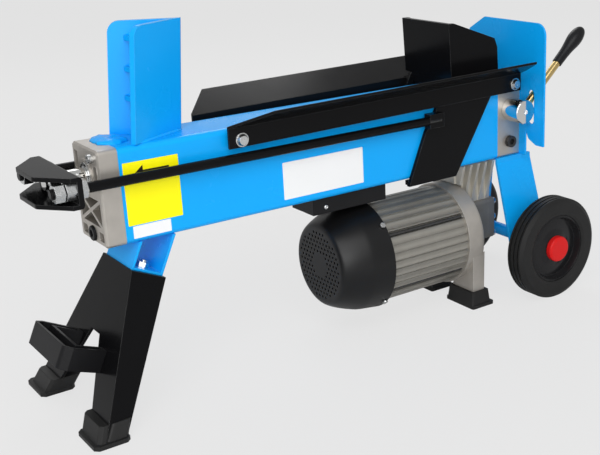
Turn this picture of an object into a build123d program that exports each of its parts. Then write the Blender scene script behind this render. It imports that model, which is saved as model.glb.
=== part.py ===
from build123d import *
import os
from math import atan, cos, degrees, hypot, radians, sin

os.makedirs("parts", exist_ok=True)

# Horizontal electric log splitter. +X runs along the beam from the wedge to the control lever,
# +Y across it, +Z up, the ground is z = 0. Along the beam, places are counted from the outer
# face of the front cover, which stands at FRONT_X.
FRONT_X = -331.71

BEAM_WIDTH = 74.0
BEAM_HEIGHT = 114.0
BEAM_LOW = 202.0
BEAM_TOP = BEAM_LOW + BEAM_HEIGHT
BEAM_MID = BEAM_LOW + BEAM_HEIGHT / 2
BEAM_WALL = 4.0
BEAM_CORNER = 7.0
COVER_DEPTH = 24.0
BEAM_END = 595.5
BLOCK_DEPTH = 42.0
BLOCK_END = BEAM_END + BLOCK_DEPTH
BLOCK_LOW = 204.0
HALF = BEAM_WIDTH / 2

RAM_Z = 282.0
BARREL_OUTER = 28.0
BARREL_INNER = 24.0
ROD_RADIUS = 10.0
ROD_NECK = 8.0
RUNNING_FIT = 0.05
PISTON_FRONT = 545.0
PISTON_LENGTH = 30.0

PULL_ROD_Y = 50.5
PULL_ROD_RADIUS = 6.0
YOKE_FACE = -34.0
YOKE_PLATE = 6.0

WEDGE_TOP = 447.0
WEDGE_LEAN = 12.0
WEDGE_APEX = 121.0
WEDGE_REAR = 47.0
WEDGE_PLATE = 7.0

RAIL_START = 158.0
RAIL_END = 630.0
RAIL_LOW = 293.5
RAIL_BEND = 320.0
RAIL_RISE = 0.015
RAIL_INNER_Y = 44.5
RAIL_PLATE = 3.0
WING_TIP_Y = 91.5
WING_TIP_Z = 341.0
RAIL_BOLTS = ((175.0, 303.0), (618.0, 311.0))

PUSHER_FACE = 498.0
PUSHER_TOP = 408.0
PUSHER_HALF = 51.0
SIDE_PLATE_Y = 37.5
SIDE_PLATE = 6.0

MOTOR_Z = 98.8
FAN_COVER_FRONT = 304.7
FAN_COVER_RIM = 377.0
FAN_COVER_RADIUS = 76.9
STATOR_END = 510.0
STATOR_RADIUS = 71.0
SHAFT_RADIUS = 8.0
SHIELD_END = 540.0
PUMP_FACE = 553.0
PUMP_COVER_X = 588.0
PUMP_END = 600.0
GEAR_CENTRES = 24.0
GEAR_TEETH = 12
GEAR_TIP = 13.4
GEAR_ROOT = 10.2

WHEEL_X = 640.6
WHEEL_RADIUS = 75.0
WHEEL_INNER_Y = 88.0
WHEEL_OUTER_Y = 119.5
AXLE_RADIUS = 6.0

HUB_X = 620.0
HUB_Z = 273.0
HUB_RADIUS = 17.2
LEVER_Y = 60.5
LEVER_ANGLE = 41.5
LEVER_RADIUS = 5.5

LEG_FOOT_X = -56.0
LEG_TILT = degrees(atan(0.463))
LEG_S = sin(radians(LEG_TILT))
LEG_C = cos(radians(LEG_TILT))
LEG_TOP_V = 190.0
LEG_TOP_HALF = 41.5
LEG_SPLAY = 0.357
LEG_PLATE = 4.0

UP = (Align.CENTER, Align.CENTER, Align.MIN)


def across(x, y=0.0, z=0.0):
    """Plane square to the beam: its own x is Y, its own y is Z, and it faces +X."""
    return Plane(origin=(FRONT_X + x, y, z), x_dir=(0, 1, 0), z_dir=(1, 0, 0))


def beside(y, x=0.0, z=0.0):
    """Plane along the beam: its own x is X, its own y is Z, and it faces -Y."""
    return Plane(origin=(FRONT_X + x, y, z), x_dir=(1, 0, 0), z_dir=(0, -1, 0))


def level(z, x=0.0, y=0.0):
    """Level plane: its own x is X, its own y is Y, and it faces up."""
    return Plane(origin=(FRONT_X + x, y, z), x_dir=(1, 0, 0), z_dir=(0, 0, 1))


def leg_point(v, d):
    """Place in the XZ plane that is v up the leg's front face and d behind it."""
    return (LEG_FOOT_X + LEG_S * v + LEG_C * d, LEG_C * v - LEG_S * d)


def leg_half(v):
    """Half of the front leg's width at v up its face."""
    return LEG_TOP_HALF + LEG_SPLAY * (LEG_TOP_V - v)


# The leg's front face: its own x is Y, its own y runs up the slope, and it faces backwards.
leg_face = Plane(origin=(FRONT_X + LEG_FOOT_X, 0, 0), x_dir=(0, 1, 0), z_dir=(LEG_C, 0, -LEG_S))


def leg_section(v):
    """Plane square to the leg's slope: its own x is Y and its own y points away in front."""
    x, z = leg_point(v, 0)
    return Plane(origin=(FRONT_X + x, 0, z), x_dir=(0, 1, 0), z_dir=(LEG_S, 0, LEG_C))


# ------------------------------------------------------------------ beam, cylinder and covers
TIE_ROD_RADIUS = 4.0
TIE_RODS = [(y, z) for y in (-28.0, 28.0) for z in (211.0, 307.0)]

with BuildPart() as beam_tank:
    with BuildSketch(across(COVER_DEPTH, 0, BEAM_MID)):
        RectangleRounded(BEAM_WIDTH, BEAM_HEIGHT, BEAM_CORNER)
        inner_radius = BEAM_CORNER - BEAM_WALL
        inner_width = BEAM_WIDTH - 2 * BEAM_WALL
        RectangleRounded(inner_width, BEAM_HEIGHT - 2 * BEAM_WALL, inner_radius, mode=Mode.SUBTRACT)
    extrude(amount=BEAM_END - COVER_DEPTH)
    with Locations(beside(HALF + 1, RAIL_BOLTS[0][0], RAIL_BOLTS[0][1])):
        Cylinder(4.0, BEAM_WIDTH + 2, align=UP, mode=Mode.SUBTRACT)
beam_tank.part.label = "beam_tank"
export_step(beam_tank.part, "parts/beam_tank.step")

PLUG_Z = 213.0
BLEED_Y = -22.0
BLEED_Z = 305.5
GLAND_RADIUS = 16.0
POCKET_DEPTH = 13.0

with BuildPart() as front_cover:
    with BuildSketch(across(0, 0, BEAM_MID)):
        RectangleRounded(BEAM_WIDTH, BEAM_HEIGHT, 5.0)
    extrude(amount=COVER_DEPTH)
    chamfer(front_cover.edges().group_by(Axis.X)[0], 2.0)
    with BuildSketch(across(0)):
        with Locations((0, 241.0)):
            RectangleRounded(60, 32, 3)
        with Locations((0, 241.0)):
            Rectangle(4, 40, rotation=62, mode=Mode.SUBTRACT)
            Rectangle(4, 80, rotation=62, mode=Mode.SUBTRACT)
            Rectangle(4, 80, rotation=-62, mode=Mode.SUBTRACT)
    extrude(amount=POCKET_DEPTH, mode=Mode.SUBTRACT)
    with BuildSketch(across(0)):
        with Locations((24.0, 213.5), (-24.0, 213.5)):
            RectangleRounded(14, 11, 2)
        with Locations((26.5, 296.0), (-26.5, 286.0)):
            RectangleRounded(9, 22, 2)
    extrude(amount=POCKET_DEPTH - 4, mode=Mode.SUBTRACT)
    with Locations(across(-2, 0, RAM_Z)):
        Cylinder(20.0, 4.0, align=UP)
        Cylinder(GLAND_RADIUS, COVER_DEPTH + 4, align=UP, mode=Mode.SUBTRACT)
    with Locations(across(-1, 0, PLUG_Z)):
        Cylinder(9.5, 4.0, align=UP, mode=Mode.SUBTRACT)
        Cylinder(6.0, COVER_DEPTH + 2, align=UP, mode=Mode.SUBTRACT)
    with Locations(across(-1, BLEED_Y, BLEED_Z)):
        Cylinder(3.0, 16.0, align=UP, mode=Mode.SUBTRACT)
    with Locations([across(14, y, z) for y, z in TIE_RODS]):
        Cylinder(TIE_ROD_RADIUS, 12.0, align=UP, mode=Mode.SUBTRACT)
front_cover.part.label = "front_cover"
export_step(front_cover.part, "parts/front_cover.step")

with BuildPart() as oil_plug:
    with Locations(across(-3, 0, PLUG_Z)):
        Cylinder(9.0, 6.0, align=UP)
        Cylinder(6.0, 27.0, align=UP)
        Cylinder(2.5, 120.0, align=UP)
    chamfer(oil_plug.edges().group_by(Axis.X)[0], 1.0)
    with BuildSketch(across(-3, 0, PLUG_Z)):
        RegularPolygon(5.0, 6)
    extrude(amount=4.5, mode=Mode.SUBTRACT)
oil_plug.part.label = "oil_plug"
export_step(oil_plug.part, "parts/oil_plug.step")

with BuildPart() as bleed_screw:
    with Locations(across(-6, BLEED_Y, BLEED_Z)):
        Cylinder(5.5, 6.0, align=UP)
        Cylinder(3.0 - 0.02, 18.0, align=UP)
    chamfer(bleed_screw.edges().group_by(Axis.X)[0], 0.8)
    with BuildSketch(across(-6, BLEED_Y, BLEED_Z)):
        Rectangle(12, 1.4)
    extrude(amount=1.8, mode=Mode.SUBTRACT)
bleed_screw.part.label = "bleed_screw"
export_step(bleed_screw.part, "parts/bleed_screw.step")

with BuildPart() as rod_gland:
    with Locations(across(-2, 0, RAM_Z)):
        Cylinder(GLAND_RADIUS, 26.0, align=UP)
        Cylinder(ROD_RADIUS + RUNNING_FIT, 26.0, align=UP, mode=Mode.SUBTRACT)
    chamfer(rod_gland.edges().group_by(Axis.X)[0], 1.0)
rod_gland.part.label = "rod_gland"
export_step(rod_gland.part, "parts/rod_gland.step")

with BuildPart() as cylinder_tube:
    with Locations(across(COVER_DEPTH, 0, RAM_Z)):
        Cylinder(BARREL_OUTER, BEAM_END - COVER_DEPTH, align=UP)
        Cylinder(BARREL_INNER, BEAM_END - COVER_DEPTH, align=UP, mode=Mode.SUBTRACT)
cylinder_tube.part.label = "cylinder_tube"
export_step(cylinder_tube.part, "parts/cylinder_tube.step")

GUARD_PLATE = 3.0
TIE_HEAD = 6.0
SPINDLE_RADIUS = 8.0
SPINDLE_REACH = 26.0
SIDE_SCREW_X = 618.5
SIDE_SCREW_Z = 225.6

with BuildPart() as valve_block:
    with BuildSketch(across(BEAM_END, 0, (BLOCK_LOW + BEAM_TOP) / 2)):
        RectangleRounded(BEAM_WIDTH, BEAM_TOP - BLOCK_LOW, 3.0)
    extrude(amount=BLOCK_DEPTH)
    with Locations([across(BEAM_END, y, z) for y, z in TIE_RODS]):
        Cylinder(TIE_ROD_RADIUS, BLOCK_DEPTH, align=UP, mode=Mode.SUBTRACT)
    with Locations(beside(SPINDLE_REACH, HUB_X, HUB_Z)):
        Cylinder(SPINDLE_RADIUS + RUNNING_FIT, 70.0, align=UP, mode=Mode.SUBTRACT)
    with Locations(across(BEAM_END, 0, HUB_Z)):
        Cylinder(4.0, 14.0, align=UP, mode=Mode.SUBTRACT)
    with Locations(beside(-HALF + 16, SIDE_SCREW_X, SIDE_SCREW_Z)):
        Cylinder(5.0, 18.0, align=UP, mode=Mode.SUBTRACT)
    with Locations(beside(HALF + 2, SIDE_SCREW_X, SIDE_SCREW_Z)):
        Cylinder(5.0, 18.0, align=UP, mode=Mode.SUBTRACT)
    with Locations(beside(-HALF + 4, RAIL_BOLTS[1][0], RAIL_BOLTS[1][1])):
        Cylinder(4.0, 6.0, align=UP, mode=Mode.SUBTRACT)
    with Locations(beside(HALF + 2, RAIL_BOLTS[1][0], RAIL_BOLTS[1][1])):
        Cylinder(4.0, 6.0, align=UP, mode=Mode.SUBTRACT)
valve_block.part.label = "valve_block"
export_step(valve_block.part, "parts/valve_block.step")

with BuildPart() as valve_side_screws:
    for side in (-1, 1):
        outward = Plane(
            origin=(FRONT_X + SIDE_SCREW_X, side * HALF, SIDE_SCREW_Z), x_dir=(1, 0, 0), z_dir=(0, side, 0))
        with Locations(outward.offset(-14)):
            Cylinder(5.0, 14.0, align=UP)
        with Locations(outward):
            Cylinder(8.5, 6.0, align=UP)
        with BuildSketch(outward.offset(6)):
            RegularPolygon(4.6, 6)
        extrude(amount=-4, mode=Mode.SUBTRACT)

with BuildPart() as valve_block_bolts:
    for y, z in TIE_RODS:
        with Locations(across(14, y, z)):
            Cylinder(TIE_ROD_RADIUS, BLOCK_END + GUARD_PLATE - 14, align=UP)
        with BuildSketch(across(BLOCK_END + GUARD_PLATE, y, z)):
            RegularPolygon(7.5, 6)
        extrude(amount=TIE_HEAD)
    add(valve_side_screws.part)
valve_block_bolts.part.label = "valve_block_bolts"
export_step(valve_block_bolts.part, "parts/valve_block_bolts.step")

# ------------------------------------------------------------------------- splitting wedge
wedge_lean = (WEDGE_LEAN, 0, WEDGE_TOP - BEAM_TOP)
wing_run = hypot(WEDGE_APEX - WEDGE_REAR, HALF)
wing_cos = (WEDGE_APEX - WEDGE_REAR) / wing_run
wing_sin = HALF / wing_run
inner_rear_x = WEDGE_REAR - WEDGE_PLATE * wing_sin
inner_rear_y = HALF - WEDGE_PLATE * wing_cos
inner_apex_x = WEDGE_APEX - WEDGE_PLATE / wing_sin

with BuildPart() as splitting_wedge:
    with BuildSketch(level(BEAM_TOP)):
        with BuildLine():
            Polyline(
                (WEDGE_APEX, 0), (WEDGE_REAR, HALF), (inner_rear_x, inner_rear_y), (inner_apex_x, 0),
                (inner_rear_x, -inner_rear_y), (WEDGE_REAR, -HALF), close=True)
        make_face()
    extrude(amount=hypot(WEDGE_LEAN, WEDGE_TOP - BEAM_TOP), dir=wedge_lean)
    ends = splitting_wedge.edges().group_by(Axis.Z)[-1]
    fillet([e for e in ends if abs(e.length - WEDGE_PLATE) < 0.1], 14.0)
splitting_wedge.part.label = "splitting_wedge"
export_step(splitting_wedge.part, "parts/splitting_wedge.step")

GUSSET_HEIGHTS = (356.0, 389.5, 425.0)
GUSSET_PLATE = 6.0
GUSSET_REAR = 60.0

with BuildPart() as wedge_gussets:
    for z in GUSSET_HEIGHTS:
        shift = WEDGE_LEAN * (z - BEAM_TOP) / (WEDGE_TOP - BEAM_TOP)
        reach = inner_apex_x - GUSSET_REAR
        half_open = 0.99 * reach * wing_sin / wing_cos
        with BuildSketch(level(z)):
            with BuildLine():
                Polyline(
                    (inner_apex_x + shift, 0), (GUSSET_REAR + shift, half_open),
                    (GUSSET_REAR + shift, -half_open), close=True)
            make_face()
        extrude(amount=hypot(GUSSET_PLATE, 0.55), dir=(0.55, 0, GUSSET_PLATE))
wedge_gussets.part.label = "wedge_gussets"
export_step(wedge_gussets.part, "parts/wedge_gussets.step")

# ------------------------------------------------------------------------- log cradle rails
WING_SLOPE = (WING_TIP_Z - RAIL_BEND) / (WING_TIP_Y - RAIL_INNER_Y)
rail_length = RAIL_END - RAIL_START
rail_low_corner = RAIL_INNER_Y + RAIL_PLATE
rail_under = RAIL_BEND + WING_SLOPE * RAIL_PLATE - RAIL_PLATE * hypot(1, WING_SLOPE)
tip_under = WING_TIP_Z - RAIL_PLATE * hypot(1, WING_SLOPE)

for rail_side, rail_name in ((-1, "cradle_near"), (1, "cradle_far")):
    with BuildPart() as cradle_rail:
        with BuildSketch(across(RAIL_START)):
            with BuildLine():
                Polyline(
                    (rail_side * RAIL_INNER_Y, RAIL_LOW), (rail_side * RAIL_INNER_Y, RAIL_BEND),
                    (rail_side * WING_TIP_Y, WING_TIP_Z), (rail_side * WING_TIP_Y, tip_under),
                    (rail_side * rail_low_corner, rail_under), (rail_side * rail_low_corner, RAIL_LOW),
                    close=True)
            make_face()
        extrude(amount=hypot(rail_length, rail_length * RAIL_RISE), dir=(1, 0, RAIL_RISE))
        with BuildSketch(level(RAIL_BEND - 6)):
            with BuildLine():
                Polyline(
                    (RAIL_START - 1, rail_side * (rail_low_corner - 1.0)),
                    (RAIL_START + 40, rail_side * (WING_TIP_Y + 1)),
                    (RAIL_START - 1, rail_side * (WING_TIP_Y + 1)), close=True)
            make_face()
        extrude(amount=60, mode=Mode.SUBTRACT)
        with BuildSketch(level(RAIL_BEND - 6)):
            with BuildLine():
                Polyline(
                    (RAIL_END + 1, rail_side * (rail_low_corner + 8)),
                    (RAIL_END - 12, rail_side * (WING_TIP_Y + 1)),
                    (RAIL_END + 1, rail_side * (WING_TIP_Y + 1)), close=True)
            make_face()
        extrude(amount=60, mode=Mode.SUBTRACT)
        for bolt_x, bolt_z in RAIL_BOLTS:
            with Locations(beside(60 if rail_side > 0 else -40, bolt_x, bolt_z)):
                Cylinder(4.0, 20.0, align=UP, mode=Mode.SUBTRACT)
    cradle_rail.part.label = rail_name
    export_step(cradle_rail.part, f"parts/{rail_name}.step")

with BuildPart() as cradle_bolts:
    for bolt_x, bolt_z in RAIL_BOLTS:
        shank_end = HALF - 4
        for side in (-1, 1):
            outward = Plane(origin=(FRONT_X + bolt_x, 0, bolt_z), x_dir=(1, 0, 0), z_dir=(0, side, 0))
            with BuildSketch(outward.offset(shank_end)):
                Circle(4.0)
            extrude(amount=RAIL_INNER_Y + RAIL_PLATE - shank_end)
            with BuildSketch(outward.offset(RAIL_INNER_Y + RAIL_PLATE)):
                Circle(8.6)
            extrude(amount=2.0)
            with BuildSketch(outward.offset(RAIL_INNER_Y + RAIL_PLATE + 2)):
                Circle(7.4)
            extrude(amount=4.0, taper=25)
            with BuildSketch(outward.offset(HALF)):
                Circle(7.5)
            extrude(amount=RAIL_INNER_Y - HALF)
cradle_bolts.part.label = "cradle_bolts"
export_step(cradle_bolts.part, "parts/cradle_bolts.step")

# ------------------------------------------------------------------------------- front leg
SHELF_V = LEG_TOP_V
SHELF_PLATE = 3.0
LEG_BOLT_D = 22.0
LEG_BOLT_Y = 20.0

with BuildPart() as leg_bracket:
    with BuildSketch(beside(36)):
        with BuildLine():
            Polyline(
                leg_point(SHELF_V, 2), leg_point(SHELF_V, 43), leg_point(260, 43), leg_point(260, 40),
                leg_point(SHELF_V + SHELF_PLATE, 40), leg_point(SHELF_V + SHELF_PLATE, 5),
                leg_point(260, 5), leg_point(260, 2), close=True)
        make_face()
    extrude(amount=72)
    with BuildSketch(level(BEAM_LOW)):
        Rectangle(400, 200)
    extrude(amount=80, mode=Mode.SUBTRACT)
    for side in (-1, 1):
        with Locations(leg_section(SHELF_V - 1)):
            with Locations((side * LEG_BOLT_Y, -LEG_BOLT_D)):
                Cylinder(4.0, 8.0, align=UP, mode=Mode.SUBTRACT)
leg_bracket.part.label = "leg_bracket"
export_step(leg_bracket.part, "parts/leg_bracket.step")

APEX_V = 103.0
APEX_HALF = 12.5
INNER_SPLAY = 0.49
FOOT_CUT_Z = 5.0
FLANGE_TOP = 45.0
FLANGE_FOOT = 23.0

with BuildPart() as front_leg:
    with BuildSketch(leg_face):
        with BuildLine():
            Polyline(
                (-LEG_TOP_HALF, LEG_TOP_V), (LEG_TOP_HALF, LEG_TOP_V), (leg_half(0), 0),
                (APEX_HALF + INNER_SPLAY * APEX_V, 0), (APEX_HALF, APEX_V), (-APEX_HALF, APEX_V),
                (-APEX_HALF - INNER_SPLAY * APEX_V, 0), (-leg_half(0), 0), close=True)
        make_face()
    extrude(amount=LEG_PLATE)
    for side in (-1, 1):
        edge_top = leg_face.from_local_coords((side * LEG_TOP_HALF, LEG_TOP_V, 0))
        edge_foot = leg_face.from_local_coords((side * leg_half(0), 0, 0))
        run = edge_top - edge_foot
        flange_plane = Plane(origin=edge_foot, x_dir=run, z_dir=leg_face.z_dir.cross(run) * side)
        back = 1 if flange_plane.y_dir.dot(leg_face.z_dir) > 0 else -1
        with BuildSketch(flange_plane):
            with BuildLine():
                Polyline(
                    (0, 0), (run.length, 0), (run.length, back * FLANGE_TOP), (0, back * FLANGE_FOOT),
                    close=True)
            make_face()
        inward = Vector(0, -side, 0)
        extrude(amount=LEG_PLATE if flange_plane.z_dir.dot(inward) > 0 else -LEG_PLATE)
    with BuildSketch(leg_section(LEG_TOP_V - LEG_PLATE)):
        with Locations((0, -FLANGE_TOP / 2)):
            Rectangle(2 * LEG_TOP_HALF - 1, FLANGE_TOP)
    extrude(amount=LEG_PLATE)
    for side in (-1, 1):
        with Locations(leg_section(LEG_TOP_V - 10)):
            with Locations((side * LEG_BOLT_Y, -LEG_BOLT_D)):
                Cylinder(4.0, 20.0, align=UP, mode=Mode.SUBTRACT)
    with BuildSketch(level(FOOT_CUT_Z)):
        Rectangle(400, 400)
    extrude(amount=-60, mode=Mode.SUBTRACT)
    with BuildSketch(leg_section(LEG_TOP_V)):
        Rectangle(200, 200)
    extrude(amount=20, mode=Mode.SUBTRACT)
front_leg.part.label = "front_leg"
export_step(front_leg.part, "parts/front_leg.step")

with BuildPart() as leg_bolts:
    for side in (-1, 1):
        with Locations(leg_section(LEG_TOP_V - LEG_PLATE - 5)):
            with Locations((side * LEG_BOLT_Y, -LEG_BOLT_D)):
                Cylinder(4.0, 21.0, align=UP)
        with BuildSketch(leg_section(LEG_TOP_V - LEG_PLATE - 5)):
            with Locations((side * LEG_BOLT_Y, -LEG_BOLT_D)):
                RegularPolygon(7.5, 6)
        extrude(amount=5)
        with BuildSketch(leg_section(SHELF_V + SHELF_PLATE)):
            with Locations((side * LEG_BOLT_Y, -LEG_BOLT_D)):
                RegularPolygon(7.5, 6)
        extrude(amount=6.5)
leg_bolts.part.label = "leg_bolts"
export_step(leg_bolts.part, "parts/leg_bolts.step")

BOOT_HEIGHT = 22.0
BOOT_LIP = 5.0
BOOT_SPLAY = 0.42

BOOT_MID_X = -47.0
BOOT_MID_Y = 84.5


def boot_outline(side, length, width, corner):
    """Corners of a boot's level outline, with its four corners cut off."""
    half_x, half_y = length / 2, width / 2
    return [
        (BOOT_MID_X + x, side * BOOT_MID_Y + y) for x, y in (
            (half_x - corner, -half_y), (half_x, corner - half_y), (half_x, half_y - corner),
            (half_x - corner, half_y), (corner - half_x, half_y), (-half_x, half_y - corner),
            (-half_x, corner - half_y), (corner - half_x, -half_y))]


with BuildPart() as leg_boots:
    for side in (-1, 1):
        with BuildSketch(level(0)):
            with BuildLine():
                Polyline(*boot_outline(side, 38, 50, 4), close=True)
            make_face()
        lean = (LEG_S / LEG_C, -side * BOOT_SPLAY, 1)
        extrude(amount=Vector(*lean).length * BOOT_HEIGHT, dir=lean)
        with BuildSketch(level(0)):
            with BuildLine():
                Polyline(*boot_outline(side, 43, 55, 5), close=True)
            make_face()
        extrude(amount=BOOT_LIP)
    add(front_leg.part, mode=Mode.SUBTRACT)
leg_boots.part.label = "leg_boots"
export_step(leg_boots.part, "parts/leg_boots.step")

HANDLE_LOW_V = 65.0
HANDLE_TOP_V = 92.0
HANDLE_WALL = 3.5

with BuildPart() as carry_handle:
    with BuildSketch(leg_section(HANDLE_LOW_V)):
        with BuildLine():
            Polyline(
                (-43, 0), (-52, 44), (-47, 55), (47, 55), (52, 44), (43, 0), (28, 0), (35, 33),
                (-35, 33), (-28, 0), close=True)
        make_face()
    extrude(amount=HANDLE_TOP_V - HANDLE_LOW_V)
    fillet(carry_handle.edges().filter_by(Axis((0, 0, 0), (LEG_S, 0, LEG_C))).group_by(
        Axis((0, 0, 0), (-LEG_C, 0, LEG_S)))[-1], 7.0)
    with BuildSketch(leg_section(HANDLE_TOP_V)):
        with BuildLine():
            Polyline(
                (-39, 4), (-48, 43), (-44, 51), (44, 51), (48, 43), (39, 4), (32, 4), (39, 37),
                (-39, 37), (-32, 4), close=True)
        make_face()
    extrude(amount=-10, mode=Mode.SUBTRACT)
carry_handle.part.label = "carry_handle"
export_step(carry_handle.part, "parts/carry_handle.step")

# ------------------------------------------------------------ guard plate and rear bracket
SLOT_Y = -61.0
SLOT_LOW = 252.0
SLOT_HIGH = 301.5
SLOT_WIDTH = 12.6

with BuildPart() as guard_plate:
    with BuildSketch(across(BLOCK_END)) as guard_outline:
        with BuildLine():
            Polyline(
                (-87, 222), (-87, 397), (39.5, 397), (72, 378), (85, 352), (85, 262), (50, 240),
                (50, BLOCK_LOW), (-50, BLOCK_LOW), (-50, 244), (-56, 230), (-72, 222), close=True)
        make_face()
        corners = guard_outline.vertices()
        fillet([v for v in corners if v.X < -80 and v.Y > 390], 17.0)
        fillet([v for v in guard_outline.vertices() if v.X < -52 and 225 < v.Y < 235], 8.0)
        with Locations((SLOT_Y, (SLOT_LOW + SLOT_HIGH) / 2)):
            SlotOverall(SLOT_HIGH - SLOT_LOW, SLOT_WIDTH, rotation=90, mode=Mode.SUBTRACT)
        with Locations(*TIE_RODS):
            Circle(TIE_ROD_RADIUS, mode=Mode.SUBTRACT)
    extrude(amount=GUARD_PLATE)
guard_plate.part.label = "guard_plate"
export_step(guard_plate.part, "parts/guard_plate.step")

BRACKET_PLATE = 4.0
AXLE_TUBE_RADIUS = 9.0

with BuildPart() as rear_bracket:
    with BuildSketch(across(588)):
        for side in (-1, 1):
            with BuildLine():
                Polyline(
                    (side * 37, BLOCK_LOW), (side * 37, 196), (side * 66, 58), (side * 70.2, 58),
                    (side * 41.2, 197), (side * 41.2, BLOCK_LOW), close=True)
            make_face()
    extrude(amount=100)
    with BuildSketch(across(BEAM_END)):
        with Locations((0, BLOCK_LOW - BRACKET_PLATE / 2)):
            Rectangle(76, BRACKET_PLATE)
    extrude(amount=60)
    with BuildSketch(beside(100)) as keep_outline:
        with BuildLine():
            Polyline((590, 215), (656, 215), (656, 200), (670, 58), (598, 58), close=True)
        make_face()
        fillet(keep_outline.vertices().group_by(Axis.Y)[0], 14.0)
    extrude(amount=200, mode=Mode.INTERSECT)
    with Locations(beside(100, WHEEL_X, WHEEL_RADIUS)):
        Cylinder(AXLE_TUBE_RADIUS, 200.0, align=UP, mode=Mode.SUBTRACT)
rear_bracket.part.label = "rear_bracket"
export_step(rear_bracket.part, "parts/rear_bracket.step")

with BuildPart() as axle_tube:
    with Locations(beside(WHEEL_INNER_Y - 1.5, WHEEL_X, WHEEL_RADIUS)):
        Cylinder(AXLE_TUBE_RADIUS, 2 * WHEEL_INNER_Y - 3, align=UP)
        Cylinder(AXLE_RADIUS, 2 * WHEEL_INNER_Y - 3, align=UP, mode=Mode.SUBTRACT)
axle_tube.part.label = "axle_tube"
export_step(axle_tube.part, "parts/axle_tube.step")

AXLE_END = 117.5
with BuildPart() as wheel_axle:
    with Locations(beside(AXLE_END, WHEEL_X, WHEEL_RADIUS)):
        Cylinder(AXLE_RADIUS, 2 * AXLE_END, align=UP)
    chamfer(wheel_axle.edges().group_by(Axis.Y)[0], 0.8)
    chamfer(wheel_axle.edges().group_by(Axis.Y)[-1], 0.8)
wheel_axle.part.label = "wheel_axle"
export_step(wheel_axle.part, "parts/wheel_axle.step")

# ---------------------------------------------------------------------------------- wheels
RIM_RADIUS = 50.0
TREAD_GROOVES = (96.0, 103.7, 111.5)

for wheel_side, wheel_name in ((-1, "near"), (1, "far")):
    spin = Axis((FRONT_X + WHEEL_X, 0, WHEEL_RADIUS), (0, 1, 0))
    wheel_plane = Plane(origin=(FRONT_X + WHEEL_X, 0, WHEEL_RADIUS), x_dir=(0, wheel_side, 0),
                        z_dir=(1, 0, 0) if wheel_side > 0 else (-1, 0, 0))
    with BuildPart() as tyre:
        with BuildSketch(wheel_plane):
            with BuildLine():
                Polyline(
                    (WHEEL_INNER_Y, RIM_RADIUS), (WHEEL_INNER_Y, 69), (92, WHEEL_RADIUS),
                    (115.5, WHEEL_RADIUS), (WHEEL_OUTER_Y, 69), (WHEEL_OUTER_Y, 54),
                    (WHEEL_OUTER_Y - 2, RIM_RADIUS), close=True)
            make_face()
            for groove_y in TREAD_GROOVES:
                with Locations((groove_y, WHEEL_RADIUS)):
                    Rectangle(2.4, 6.0, mode=Mode.SUBTRACT)
        revolve(axis=spin)
    tyre.part.label = f"tyre_{wheel_name}"
    export_step(tyre.part, f"parts/tyre_{wheel_name}.step")

    with BuildPart() as wheel_rim:
        with BuildSketch(wheel_plane):
            with BuildLine():
                Polyline(
                    (WHEEL_INNER_Y, AXLE_RADIUS + RUNNING_FIT), (WHEEL_INNER_Y, 14), (98, 15), (105, 28),
                    (103, 42), (94, 47), (WHEEL_INNER_Y + 1, 47), (WHEEL_INNER_Y + 1, RIM_RADIUS),
                    (117, RIM_RADIUS), (118.5, 47), (109, 43), (111, 28), (114, 18),
                    (114, AXLE_RADIUS + RUNNING_FIT), close=True)
            make_face()
        revolve(axis=spin)
    wheel_rim.part.label = f"wheel_rim_{wheel_name}"
    export_step(wheel_rim.part, f"parts/wheel_rim_{wheel_name}.step")

    outward = Plane(origin=(FRONT_X + WHEEL_X, 0, WHEEL_RADIUS), x_dir=(1, 0, 0), z_dir=(0, wheel_side, 0))
    with BuildPart() as hub_cap:
        with Locations(outward.offset(114)):
            Cylinder(19.0, 9.0, align=UP)
        fillet(hub_cap.edges().sort_by(Axis.Y)[-1 if wheel_side > 0 else 0], 4.0)
        with Locations(outward.offset(114)):
            Cylinder(12.0, 5.5, align=UP, mode=Mode.SUBTRACT)
    hub_cap.part.label = f"hub_cap_{wheel_name}"
    export_step(hub_cap.part, f"parts/hub_cap_{wheel_name}.step")

# ---------------------------------------------------------------------------- motor, fixed
MOTOR_AXIS = Axis((FRONT_X, 0, MOTOR_Z), (1, 0, 0))
motor_profile = Plane(origin=(FRONT_X, 0, MOTOR_Z), x_dir=(1, 0, 0), z_dir=(0, -1, 0))
COVER_WALL = 2.5
FACE_RADIUS = 56.3
BEARING_RADIUS = 16.0
FAN_SHIELD_X = 369.0

AIR_HOLE_RADIUS = 1.9
AIR_HOLE_PITCH = 7.4
MOTOR_CORNERS = (45, 135, 225, 315)
FAN_SCREW_X = 372.5


def radial(x, reach, angle):
    """Plane at the given reach from the motor's axis, facing straight away from it."""
    c, s = cos(radians(angle)), sin(radians(angle))
    return Plane(origin=(FRONT_X + x, reach * c, MOTOR_Z + reach * s), x_dir=(1, 0, 0), z_dir=(0, c, s))


air_holes = []
for row in range(-8, 9):
    for column in range(-8, 9):
        hole_y = AIR_HOLE_PITCH * (column + 0.5 * (row % 2))
        hole_z = AIR_HOLE_PITCH * 0.866 * row
        if 15 < hypot(hole_y, hole_z) < 48:
            air_holes.append((hole_y, hole_z))

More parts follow.
